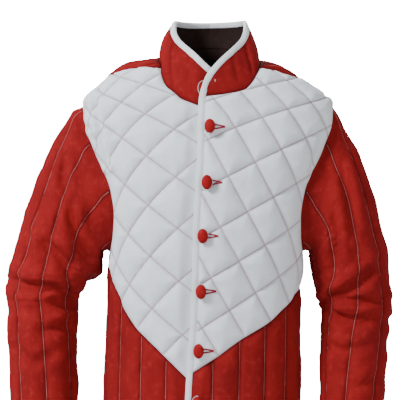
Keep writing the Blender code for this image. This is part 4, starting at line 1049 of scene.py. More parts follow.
@dataclass
class Body:
    """The panels of the body: two chests, two lower fronts and the back."""

    seams: dict[Side, Seams]

    def chest(self, side: Side) -> Panel:
        """A white chest panel with its diamond quilting."""
        seams = self.seams[side]
        drops = np.linspace(seams.chest_edge[-1][1], seams.neck[0][1], 150)[1:-1]
        centre = list(zip(near_edge(side, drops).tolist(), drops.tolist()))
        outline = join(seams.neck, seams.shoulder, seams.armhole_front, seams.side_upper, seams.chest_edge)
        return Panel(
            f"chest_{side.word}",
            outline + centre,
            diamond_lines(side),
            TORSO.frame,
            11 if side is Side.RIGHT else 23,
            lift=lap_lift if side is Side.LEFT else None,
            free=lap_free if side is Side.RIGHT else None,
            troughs=CHEST_TROUGHS[side],
            thinner=(seams.armhole_front,),
        )

    def front(self, side: Side) -> Panel:
        """A red lower front with upright channels and a row of sewing over the hem."""
        seams = self.seams[side]
        bottom = float(TORSO.drop_at(HEM))
        ends = (side.value * float(TORSO.side(bottom)), float(near_edge(side, bottom)))
        hem = along([(arc, bottom) for arc in ends], seams.SPACING)
        drops = np.linspace(bottom, seams.chest_edge[-1][1], 80)[1:-1]
        centre = list(zip(near_edge(side, drops).tolist(), drops.tolist()))
        arcs = [side.value * (FRONT_CHANNEL_START + CHANNEL * k) for k in range(-1, 7)]
        top = float(TORSO.drop_at(CHEST_END[side])) - 0.01
        return Panel(
            f"front_{side.word}",
            join(list(reversed(seams.chest_edge)), seams.side_lower, hem) + centre,
            channel_lines(arcs, top, bottom) + [hem_row(-0.30, 0.30)],
            TORSO.frame,
            37 if side is Side.RIGHT else 41,
            lift=lap_lift if side is Side.LEFT else None,
            free=lap_free if side is Side.RIGHT else None,
            padding=Padding(rise=0.0066, pucker=0.0016, swell=0.0018, swell_cell=0.028),
        )

    def back(self) -> Panel:
        """The red back with upright channels, reaching over the shoulders to the front seams."""
        outline: Line = []
        bottom = float(TORSO.drop_at(HEM))
        for side in Side:
            half = self.seams[side]
            middle = (side.value * float(TORSO.girth(bottom)), bottom)
            hem = along([half.side_lower[-1], middle], half.SPACING)
            line = join(list(reversed(half.neck_back)), half.shoulder, list(reversed(half.armhole_back)))
            line = from_back(join(line, half.side_upper, half.side_lower, hem))
            outline += line[:-1] if side is Side.RIGHT else list(reversed(line))[:-1]
        arcs = [CHANNEL * (k + 0.5) for k in range(-8, 8)]
        return Panel(
            "back",
            outline,
            channel_lines(arcs, float(TORSO.drop_at(0.01)), bottom) + [hem_row(-0.40, 0.40)],
            back_place,
            53,
            thinner=tuple(from_back(self.seams[side].armhole_back) for side in Side),
            padding=Padding(rise=0.0066, pucker=0.0016, swell=0.0020, swell_cell=0.034),
            grain=0.0042,
        )


def hem_row(start: float, end: float, above: float = 0.014) -> Line:
    """A row of sewing just above the hem."""
    drop = float(TORSO.drop_at(HEM)) - above
    return [(arc, drop) for arc in np.linspace(start, end, 120).tolist()]


def wall_faces(rows: int, inner_rows: int, count: int, closed: bool) -> tuple[list[tuple[int, ...]], int]:
    """The faces of a closed wall between an outer and an inner grid of rings.

    Args:
        rows: Rings of the outer grid, which comes first.
        inner_rows: Rings of the inner grid.
        count: Points in a ring.
        closed: Whether each ring closes on itself.

    Returns:
        The faces, and the number of those before the inner ones.
    """
    k = np.arange(count if closed else count - 1)
    n = (k + 1) % count

    def sheet(first: int, last: int) -> list[Array]:
        """The faces between the rings of one grid."""
        starts = [first + count * row for row in range(last)]
        return [np.stack([a + k, a + count + k, a + count + n, a + n], 1) for a in starts[:-1]]

    shift = rows * count
    top = [np.stack([k, n, shift + n, shift + k], 1)]
    a, b = (rows - 1) * count, shift + (inner_rows - 1) * count
    ends = top + [np.stack([a + k, a + n, b + n, b + k], 1)[:, ::-1]]
    if not closed:
        r = np.arange(rows - 1) * count
        left = np.stack([r, shift + r, shift + r + count, r + count], 1)
        ends += [left, (left + count - 1)[:, ::-1]]
    outer = np.vstack(sheet(0, rows) + ends)
    inner = np.vstack(sheet(shift, inner_rows))[:, ::-1]
    return [tuple(face) for face in np.vstack([outer, inner]).tolist()], len(outer)


@dataclass
class Sleeve:
    """A sleeve as rings from the armhole to the cuff, each a flat oval across the arm."""

    side: Side
    divisions: int = 16
    outer_step: float = 0.085
    inner_step: float = 0.35
    padding: Padding = Padding(rise=0.0074, pucker=0.0018, swell=0.0017, swell_cell=0.030)
    elbow_ripple: float = 0.0024
    press: float = 1.25
    press_limits: tuple[float, float] = (-0.007, 0.014)
    sewn_places: tuple[Array, Array, Array] = field(init=False)

    @property
    def name(self) -> str:
        """The piece's name."""
        return f"sleeve_{self.side.word}"

    def value(self, name: str, row: Any) -> Array:
        """One column of the ring table at any row."""
        table = SLEEVES[self.side]
        return smooth(row, range(len(table)), [getattr(ring, name) for ring in table])

    def base(self, row: Any, turn: Any) -> Array:
        """Places on the sleeve before its folds are pressed in."""
        row, turn = np.broadcast_arrays(np.asarray(row, float), np.radians(np.asarray(turn, float)))
        ox, oz = self.value("outer_x", row), self.value("outer_z", row)
        ix, iz = self.value("inner_x", row), self.value("inner_z", row)
        c, s = np.cos(turn), np.sin(turn)
        x = 0.5 * (ox + ix) + 0.5 * (ox - ix) * c
        z = 0.5 * (oz + iz) + 0.5 * (oz - iz) * c
        y = self.value("middle_y", row) - self.value("half_depth", row) * s
        return np.stack([x, y, z], axis=-1)

    def settled(self, row: Array, turn: Array) -> Array:
        """Places on the sleeve, drawn to the true armhole near the shoulder."""
        spots = armhole_spots(self.side, turn)
        seam = TORSO.point(spots[..., 0], spots[..., 1])
        weight = (1 - ramp(row, 0.0, 4.5))[..., None]
        return self.base(row, turn) + weight * (seam - self.base(np.zeros_like(row), turn))

    def folded(self, row: Array, places: Array) -> Array:
        """How far the folds press in the cloth, or push it out above them."""
        depth = np.zeros(places.shape[:2])
        flat = places.reshape(-1, 3)
        for fold in FOLDS[self.side]:
            share = np.linspace(0, 1, 24)
            known = np.linspace(0, 1, len(fold.path))
            rows, turns = (np.interp(share, known, values) for values in zip(*fold.path))
            line = self.base(rows, turns)
            away = np.linalg.norm(flat[:, None, :] - line[None], axis=-1)
            best = away.argmin(axis=1)
            gap = away[np.arange(len(flat)), best].reshape(depth.shape)
            taper = np.sin((0.10 + 0.80 * share[best]) * math.pi).reshape(depth.shape)
            above = row < rows[best].reshape(depth.shape)
            width = np.where(above, 0.72, 1.15) * fold.width
            depth += fold.depth * taper * np.exp(-((gap / width) ** 2))
            crown = np.exp(-(((gap - 1.9 * fold.width) / fold.width) ** 2))
            depth -= np.where(above, 0.55, 0.25) * fold.depth * taper * crown
        return np.clip(self.press * depth, *self.press_limits)

    def rings(self, rows: Array) -> tuple[Array, Array, Array, Array]:
        """Rings of places on the sleeve.

        Args:
            rows: The rows to read.

        Returns:
            The rows and turns as grids, the places, and the outward normals.
        """
        turns = np.stack([spokes(self.side, float(row), self.divisions) for row in rows])
        grid = np.broadcast_to(rows[:, None], turns.shape)
        places = self.settled(grid, turns)
        around = np.roll(places, -1, axis=1) - np.roll(places, 1, axis=1)
        down = self.settled(grid + 0.06, turns) - self.settled(np.maximum(grid - 0.06, 0.0), turns)
        normals = unit(np.cross(down, around))
        middle = places.mean(axis=1, keepdims=True)
        normals *= np.sign(((places - middle) * normals).sum(axis=-1).sum())
        spots = armhole_spots(self.side, turns[0])
        seam, out = TORSO.frame(spots[:, 0], spots[:, 1])
        away = unit(np.cross(out, np.roll(seam, -1, axis=0) - np.roll(seam, 1, axis=0)))
        away *= np.sign(((seam.mean(axis=0) - seam) * away).sum(axis=1, keepdims=True))
        if rows[0] <= 0:
            places[0] = seam + away * WALL.seam_gap * 0.75
            normals[0] = out
        return grid, turns, places, normals

    def channel_gap(self, places: Array) -> Array:
        """The distance round each ring from every point to the nearest row of sewing."""
        step = np.linalg.norm(np.roll(places, -1, axis=1) - places, axis=-1)
        shape = (len(places), -1, self.divisions)
        ahead = np.cumsum(step.reshape(shape), axis=2)
        before = np.concatenate([np.zeros((len(places), ahead.shape[1], 1)), ahead[:, :, :-1]], axis=2)
        return np.minimum(before, ahead[:, :, -1:] - before).reshape(len(places), -1)

    def ripples(self, rows: Array, gap: Array) -> Array:
        """Soft cross creases near the elbow, out of step from one channel to the next."""
        channel = np.repeat(np.arange(gap.shape[1] // self.divisions), self.divisions)[None, :]
        seed = 61 if self.side is Side.RIGHT else 67
        at = np.stack([(rows + 0 * gap).ravel(), (0.9 * channel + 0 * gap).ravel()], axis=1)
        wave = uneven(at, 0.42, seed) + 0.5 * uneven(at, 0.23, seed + 1)
        where = ramp(rows, 7.5, 9.6) * (1 - 0.55 * ramp(rows, 11.5, 13.8)) + 0.22
        ends = ramp(rows, 0.3, 1.5) * (1 - ramp(rows, 13.5, 14.0))
        return self.elbow_ripple * wave.reshape(gap.shape) * where * ends * (1 - np.exp(-gap / 0.007))

    def shape(self) -> Shape:
        """The closed mesh of the sleeve."""
        outer_rows = np.linspace(0, CUFF_ROW, int(CUFF_ROW / self.outer_step) + 1)
        inner_rows = np.linspace(0, CUFF_ROW, int(CUFF_ROW / self.inner_step) + 1)
        grid, _, places, normals = self.rings(outer_rows)
        gap = self.channel_gap(places)
        length = np.linalg.norm(np.diff(places.mean(axis=1), axis=0), axis=1)
        down = np.concatenate([[0.0], np.cumsum(length)])[:, None] + 0 * gap
        step = np.linalg.norm(np.roll(places, -1, axis=1) - places, axis=-1)
        round_ = np.cumsum(step, axis=1)
        flat = np.stack([round_.ravel(), down.ravel()], axis=1)
        line = (np.arange(gap.shape[1]) // self.divisions)[None, :] + 0 * gap
        near = Nearest(gap.ravel(), down.ravel(), line.ravel())
        seed = 71 if self.side is Side.RIGHT else 83
        ends = ramp(grid, 0.2, 4.6) * (1 - ramp(grid, 13.72, 14.0))
        rise = self.padding.height(near, flat, seed).reshape(gap.shape) + self.ripples(grid, gap)
        height = WALL.sewn - 0.001 + rise * ends - self.folded(grid, places) * ramp(grid, 0.2, 1.2)
        height = np.maximum(height, 0.0020)
        self.sewn_places = tuple(values[:, :: self.divisions] for values in (places, normals, height))
        outer = places + normals * (height - WALL.inside)[..., None]
        inner_grid, _, inner_places, inner_normals = self.rings(inner_rows)
        pressed = self.folded(inner_grid, inner_places) * ramp(inner_grid, 0.2, 1.2)
        inner = inner_places + inner_normals * (-WALL.inside - np.maximum(pressed, 0))[..., None]
        faces, lined = wall_faces(len(outer_rows), len(inner_rows), gap.shape[1], True)
        inner_flat = np.zeros((inner.shape[0] * inner.shape[1], 2))
        inner_flat[:, 0] = np.tile(round_[0], len(inner_rows))
        inner_flat[:, 1] = np.repeat(inner_rows * 0.045, gap.shape[1])
        return Shape(
            np.vstack([outer.reshape(-1, 3), inner.reshape(-1, 3)]),
            faces,
            np.vstack([flat, inner_flat]),
            # Closeness to the rows of sewing, where the material paints shade into the grooves.
            np.concatenate([np.exp(-near.gap / 0.0020), np.zeros(len(inner_flat))]),
            lined,
        )

    def stitch_paths(self) -> list[Placed]:
        """Each row of sewing down the sleeve, after its shape is made."""
        places, normals, height = self.sewn_places
        outer = places + normals * (height - WALL.inside)[..., None]
        return [(outer[2:-1, k], normals[2:-1, k]) for k in range(outer.shape[1])]


class Collar:
    """The stand collar as stations along the neck, from one front end round the back to the other."""

    LEVELS = 16
    AXIS = np.array([COLLAR_CENTRE, -0.02, 0.0])
    PADDING = Padding(rise=0.0, pucker=0.0006, swell=0.0009, swell_cell=0.026, ripple=0.0002)
    CREASES = (
        (-0.73, 0.018, 0.0026, 0.15), (-0.86, 0.022, 0.0012, 0.3), (-0.60, 0.03, 0.0012, 0.0),
        (0.70, 0.020, 0.0032, 0.2), (0.82, 0.018, 0.0026, 0.35), (0.56, 0.03, 0.0012, 0.0),
        (-0.30, 0.03, 0.0012, 0.1), (0.25, 0.03, 0.0012, 0.1), (0.0, 0.03, 0.0010, 0.2),
    )

    def __init__(self, seams: dict[Side, Seams]) -> None:
        """Reads the neck seam and the top edge at each station.

        Args:
            seams: The seams of both sides.
        """
        left = join(seams[Side.RIGHT].neck, seams[Side.RIGHT].neck_back)
        right = join(seams[Side.LEFT].neck, seams[Side.LEFT].neck_back)
        spots = np.array(left + list(reversed(right))[1:])
        self.foot, self.foot_normal = TORSO.frame(spots[:, 0], spots[:, 1])
        self.middle = len(left)
        order = np.arange(len(spots))
        self.lift = np.where(order < self.middle, 0.0, lap_lift(spots[:, 0], spots[:, 1]))
        length = lengths(self.foot)
        back = length[self.middle - 1]
        self.share = np.where(order < self.middle, length / back - 1, (length - back) / (length[-1] - back))
        self.edge = self.top(self.share)
        rise = self.edge - self.foot
        run = unit(np.gradient(self.edge, axis=0))
        self.span = np.linalg.norm(rise - run * (rise * run).sum(axis=1, keepdims=True), axis=1)
        self.length = length

    @staticmethod
    def top(share: Array) -> Array:
        """Places along the top edge, from -1 at one front end to 1 at the other."""
        out = np.empty((len(share), 3))
        for side in Side:
            table = COLLAR_TOP + (COLLAR_END[side],)
            chosen = share < 0 if side is Side.RIGHT else share >= 0
            x, y, z = (column(table, "share", name, np.abs(share[chosen])) for name in ("x", "y", "z"))
            out[chosen] = np.stack([COLLAR_CENTRE + side.value * x, y, z], axis=1)
        return out

    def at(self, level: Any) -> Array:
        """Places round the collar at levels from 0 at the neck seam to 1 at the top edge."""
        level = np.broadcast_to(np.asarray(level, float), self.share.shape)[:, None]
        place = self.foot + (self.edge - self.foot) * level
        out = place - self.AXIS
        out[:, 2] = 0
        part = ramp(self.share, -0.25, 0.25)
        most = COLLAR_BULGE[Side.RIGHT] * (1 - part) + COLLAR_BULGE[Side.LEFT] * part
        bulge = (most * (1 - ramp(-self.share, 0.72, 0.94)))[:, None]
        return place + unit(out) * (bulge * np.sin(math.pi * level))

    def normals(self, level: Any) -> Array:
        """Outward normals round the collar."""
        level = np.broadcast_to(np.asarray(level, float), self.share.shape)
        place = self.at(level)
        up = self.at(np.minimum(level + 0.02, 1.0)) - self.at(np.maximum(level - 0.02, 0.0))
        normal = unit(np.cross(np.gradient(place, axis=0), up))
        out = place - self.AXIS
        return normal * np.sign((out * normal).sum())

    def creases(self, level: float) -> Array:
        """Soft upright creases and a sag under the binding, as height over the plain collar."""
        share = self.share
        drawn = np.zeros(len(share))
        for place, width, deep, low in self.CREASES:
            fade = float(ramp(level, low - 0.25, low + 0.1)) * (1 - float(ramp(level, 0.88, 1.02)))
            drawn -= deep * np.exp(-(((share - place - 0.05 * (level - 0.5)) / width) ** 2)) * fade
        return drawn

    def wall(self, low: float, high: float, start: float, most: float, quilted: bool) -> Shape:
        """A closed wall round the collar.

        Args:
            low: Height of its inner face.
            high: Height of its outer face.
            start: Its lowest level.
            most: The share of each half that it reaches.
            quilted: Whether it has the outside's creases.

        Returns:
            Its mesh.
        """
        chosen = np.abs(self.share) <= most
        under = 1 - ramp(-self.share, 0.84, 0.92)
        thick = np.minimum(high, WALL.lap_wall) + (high - np.minimum(high, WALL.lap_wall)) * under
        corner = COLLAR_CORNER * ramp(self.share, 0.86, 1.0)
        limit = 1 - (WALL.binding_width - BINDING_TUCK + corner) / self.span
        outer, inner, flat, sewn = [], [], [], []
        for level in np.linspace(start, 1.0, self.LEVELS):
            place, normal = self.at(level * limit), self.normals(level * limit)
            if level <= 0:
                away = unit(np.cross(np.gradient(self.foot, axis=0), self.foot_normal))
                away *= np.sign(away[:, 2].sum())
                place, normal = self.foot + away * WALL.seam_gap * 0.75, self.foot_normal
            height = self.lift - WALL.inside
            edge = np.minimum(level, 1 - level) * self.span
            spots = np.stack([self.length, level * self.span], axis=1)
            full = thick
            if quilted:
                near = Nearest(edge, self.length, np.zeros(len(edge)))
                full = full + (self.PADDING.height(near, spots, 97) + self.creases(float(level))) * under
                full = np.maximum(full - 0.0016 * np.exp(-edge / 0.0035) * under, 0.0022)
            outer.append((place + normal * (height + full)[:, None])[chosen])
            inner.append((place + normal * (height + low)[:, None])[chosen])
            flat.append(spots[chosen])
            # Closeness to the top and bottom edges, where the material paints shade under the binding and at
            # the neck seam.
            sewn.append(np.exp(-edge / 0.0035)[chosen])
        count = int(chosen.sum())
        faces, lined = wall_faces(self.LEVELS, self.LEVELS, count, False)
        return Shape(np.vstack(outer + inner), faces, np.vstack(flat * 2), np.concatenate(sewn * 2), lined)

    def outside(self) -> Shape:
        """The red outside, up to the binding."""
        return self.wall(0.0, WALL.collar, 0.0, 1.0, True)

    def inside(self) -> Shape:
        """The dark cloth that faces the neck."""
        return self.wall(-WALL.lining - WALL.seam_gap, -WALL.seam_gap, 0.26, 0.90, False)

    def outer_place(self, x: float, z: float, side: Side) -> Placed:
        """The place and normal of the collar's outer face nearest a width and height seen from the front.

        Args:
            x: Across.
            z: Up.
            side: Which half.

        Returns:
            The place and its outward normal.
        """
        best, found = 1.0, None
        for level in np.linspace(0.05, 0.9, 35):
            place, normal = self.at(level), self.normals(level)
            off = np.hypot(place[:, 0] - x, place[:, 2] - z)
            off = np.where((np.sign(self.share) == side.value) & (place[:, 1] < -0.02), off, 9.0)
            k = int(off.argmin())
            if off[k] < best:
                height = self.lift[k] - WALL.inside + (WALL.collar if side is Side.LEFT else WALL.lap_wall)
                best, found = float(off[k]), (place[k] + normal[k] * height, normal[k])
        return found


@dataclass
class Bead:
    """A rounded tape along a line of places."""

    centre: Array
    across: Array
    normal: Array
    low: Array
    high: Array

    def resampled(self, spacing: float, passes: int = 8) -> "Bead":
        """The same tape at an even spacing, with a smooth path."""
        columns = [self.centre, self.across, self.normal, np.stack([self.low, self.high], 1)]
        for step in (0.004, spacing):
            length = lengths(columns[0])
            at = np.linspace(0, length[-1], max(2, round(length[-1] / step)) + 1)
            columns = [np.stack([np.interp(at, length, part) for part in c.T], 1) for c in columns]
            for _ in range(passes if step != spacing else 2):
                for values in columns:
                    values[1:-1] = 0.25 * values[:-2] + 0.5 * values[1:-1] + 0.25 * values[2:]
        centre, across, normal, band = columns
        forward = unit(np.gradient(centre, axis=0))
        across = unit(across - forward * (across * forward).sum(1, keepdims=True))
        square = np.cross(forward, across)
        square *= np.sign((square * normal).sum(1, keepdims=True))
        return Bead(centre, across, square, band[:, 0], band[:, 1])

    def shape(self, half_width: float, seed: int, count: int = 20) -> Shape:
        """The closed mesh of the tape, a little uneven as pressed cotton is.

        Args:
            half_width: Half the tape's width.
            seed: Which unevenness.
            count: Points round it.

        Returns:
            The mesh.
        """
        length = lengths(self.centre)
        rings, flat = [], []
        for k in range(count):
            turn = 2 * math.pi * (k + 0.5) / count
            side = math.copysign(abs(math.cos(turn)) ** 0.55, math.cos(turn))
            rise = math.copysign(abs(math.sin(turn)) ** 0.7, math.sin(turn))
            at = np.stack([length, np.full(len(length), 0.004 * side)], axis=1)
            wave = 0.00035 * uneven(at, 0.009, seed) + 0.00025 * uneven(at, 0.004, seed + 1)
            dent = 0.0007 * math.exp(-(((abs(side) - 0.66) / 0.12) ** 2)) * (rise > 0)
            height = 0.5 * (self.low + self.high) + 0.5 * (self.high - self.low) * rise
            height += wave * (rise > 0) - dent
            place = self.centre + self.across * (half_width * side) + self.normal * height[:, None]
            rings.append(place)
            flat.append(np.stack([np.full(len(length), half_width * side), length], axis=1))
        stations = np.stack(rings, axis=1)
        k = np.arange(count)
        n = (k + 1) % count
        faces = []
        for s in range(len(stations) - 1):
            a, d = s * count, (s + 1) * count
            faces += np.stack([a + k, a + n, d + n, d + k], 1).tolist()
        last = (len(stations) - 1) * count
        for q in range(1, count - 1):
            faces += [[0, q, q + 1], [last, last + q + 1, last + q]]
        mesh = Shape(
            stations.reshape(-1, 3),
            [tuple(face) for face in faces],
            np.stack(flat, axis=1).reshape(-1, 2),
            np.zeros(len(stations) * count),
        )
        return mesh

    def stitch_paths(self, half_width: float) -> list[Placed]:
        """Two rows of sewing, one near each edge of the tape's outer face."""
        paths = []
        for sign in (-1, 1):
            place = self.centre + self.across * (0.64 * sign * half_width)
            paths.append((place + self.normal * (self.high - 0.0004)[:, None], self.normal))
        return paths


@dataclass
class Binding:
    """The white tape round the collar's top edge and down the front edge."""

    collar: Collar
    side: Side
    spacing: float = 0.0032

    @property
    def name(self) -> str:
        """The piece's name."""
        return f"binding_{self.side.word}"

    def bead(self) -> Bead:
        """The tape's line and heights."""
        collar, sign = self.collar, self.side.value
        level = 1 - 0.5 * WALL.binding_width / collar.span
        place, normal = collar.at(level), collar.normals(level)
        down = unit(collar.at(level - 0.04) - place)
        order = np.argsort(np.abs(collar.share), kind="stable")
        most = COLLAR_BINDING_END[self.side]
        near = collar.share[order] * sign
        right = (near >= 0) & (near <= most) & ((sign > 0) | (order < collar.middle))
        chosen = order[right]
        place = place + normal * (collar.lift - WALL.inside)[:, None]
        lines = [values[chosen] for values in (place, down, normal)]
        wrapped = len(chosen)
        if self.side is Side.LEFT:
            lines = [np.vstack(parts) for parts in zip(lines, self.collar_end(), self.front_edge())]
        single = len(lines[0]) - wrapped
        low = np.repeat([-WALL.lining - 2 * WALL.seam_gap, -WALL.seam_gap], [wrapped, single])
        high = np.repeat([WALL.collar + 0.0010, WALL.binding_height], [wrapped, single])
        return Bead(*lines, low, high).resampled(self.spacing)

    def collar_end(self, levels: int = 4) -> tuple[Array, Array, Array]:
        """The line down the front end of the overlapping half of the collar."""
        collar, last = self.collar, len(self.collar.share) - 1
        span = float(np.linalg.norm(collar.edge[last] - collar.foot[last]))
        centre, across, normal = [], [], []
        for level in np.linspace(1 - WALL.binding_width * 1.7 / span, 0.12, levels):
            place, out = collar.at(level)[last], collar.normals(level)[last]
            inward = unit(collar.at(level)[last - 5] - place)
            centre.append(place - inward * WALL.edge_set + out * (collar.lift[last] - WALL.inside))
            across.append(inward)
            normal.append(out)
        return np.array(centre), np.array(across), np.array(normal)

    def front_edge(self, stations: int = 60) -> tuple[Array, Array, Array]:
        """The line down the whole front edge of the overlapping front."""
        start = float(TORSO.drop_at(NECK[Side.LEFT][0].z)) + 0.006
        drops = np.linspace(start, float(TORSO.drop_at(HEM)), stations)
        arcs = edge_arc(drops)
        place, normals = TORSO.frame(arcs, drops)
        aside = unit(TORSO.frame(arcs + 0.004, drops)[0] - place)
        return place + normals * (lap_lift(arcs, drops) - WALL.inside)[:, None], aside, normals


@dataclass(frozen=True)
class Seat:
    """Where something round sits: its place, the way out, across and up."""

    place: Array
    out: Array
    across: Array
    up: Array

    @staticmethod
    def at(place: Array, out: Array) -> "Seat":
        """A seat at a place whose outward normal is known."""
        across = np.array([1.0, 0.0, 0.0])
        across = unit(across - out * float(across @ out))
        up = np.cross(across, out)
        return Seat(place, out, across, up * math.copysign(1.0, up[2]))

    def ring(self, half_width: float, half_height: float, rise: float = 0.0006, count: int = 25) -> Placed:
        """A closed row round the seat, as places and normals."""
        turn = np.linspace(0, 2 * math.pi, count)[:, None]
        flat = self.across * (half_width * np.cos(turn)) + self.up * (half_height * np.sin(turn))
        return self.place + flat + self.out * rise, np.tile(self.out, (count, 1))


@dataclass
class Button:
    """A domed button covered in gathered cloth, on a short thread shank."""

    seat: Seat
    half_width: float = 0.0095
    half_depth: float = 0.0068
    half_height: float = 0.0130
    stand: float = 0.0012
    turns: int = 40
    rows: int = 22
    seed: int = 5

    def shape(self) -> Shape:
        """The closed mesh of the button."""
        seat, points, flat = self.seat, [], []
        centre = seat.place + seat.out * (self.stand + self.half_depth)
        turn = 2 * math.pi * np.arange(self.turns) / self.turns
        for row in range(self.rows + 1):
            rise = math.pi * row / self.rows
            gather = 0.00022 * np.sin(turn * 17 + self.seed) * float(ramp(rise, 1.15, 1.7))
            dent = 0.0002 * np.sin(turn * 3 + self.seed) * math.sin(rise)
            side = (math.sin(rise) ** 0.86) + 0 * turn
            up = (self.half_depth * math.copysign(abs(math.cos(rise)) ** 1.15, math.cos(rise))) + dent
            ring = (
                centre
                + seat.out * up[:, None]
                + seat.across * ((self.half_width + gather) * side * np.cos(turn))[:, None]
                + seat.up * ((self.half_height + gather) * side * np.sin(turn))[:, None]
            )
            points.append(ring[:1] if row in (0, self.rows) else ring)
            spot = np.stack([rise * 0.006 * np.cos(turn), rise * 0.006 * np.sin(turn)], axis=1)
            flat.append(spot[:1] if row in (0, self.rows) else spot)
        faces: list[tuple[int, ...]] = []
        last = 1 + (self.rows - 1) * self.turns
        for k in range(self.turns):
            n = (k + 1) % self.turns
            faces += [(0, 1 + k, 1 + n), (last, last - self.turns + n, last - self.turns + k)]
            for row in range(self.rows - 2):
                a, b = 1 + row * self.turns + k, 1 + row * self.turns + n
                faces.append((a, a + self.turns, b + self.turns, b))
        return Shape(np.vstack(points), faces, np.vstack(flat), np.zeros(last + 1))


class Thread(Enum):
    """How a stitch lies on its row."""

    ALONG = False
    ACROSS = True


@dataclass(frozen=True)
class Stitch:
    """The size of one stitch and the step from one to the next."""

    length: float = 0.0033
    width: float = 0.0012
    height: float = 0.0009
    step: float = 0.0038
    lie: Thread = Thread.ALONG


QUILTING_STITCH = Stitch()
EDGE_STITCH = Stitch(0.0020, 0.0006, 0.0005, 0.0032)
SATIN_STITCH = Stitch(0.0032, 0.0010, 0.0018, 0.0006, Thread.ACROSS)
RING_STITCH = Stitch(0.0026, 0.0016, 0.0014, 0.0022)
COLLAR_RING_STITCH = Stitch(0.0026, 0.0014, 0.0011, 0.0022)
TACK_STITCH = Stitch(0.0020, 0.0014, 0.0011, 0.0012)


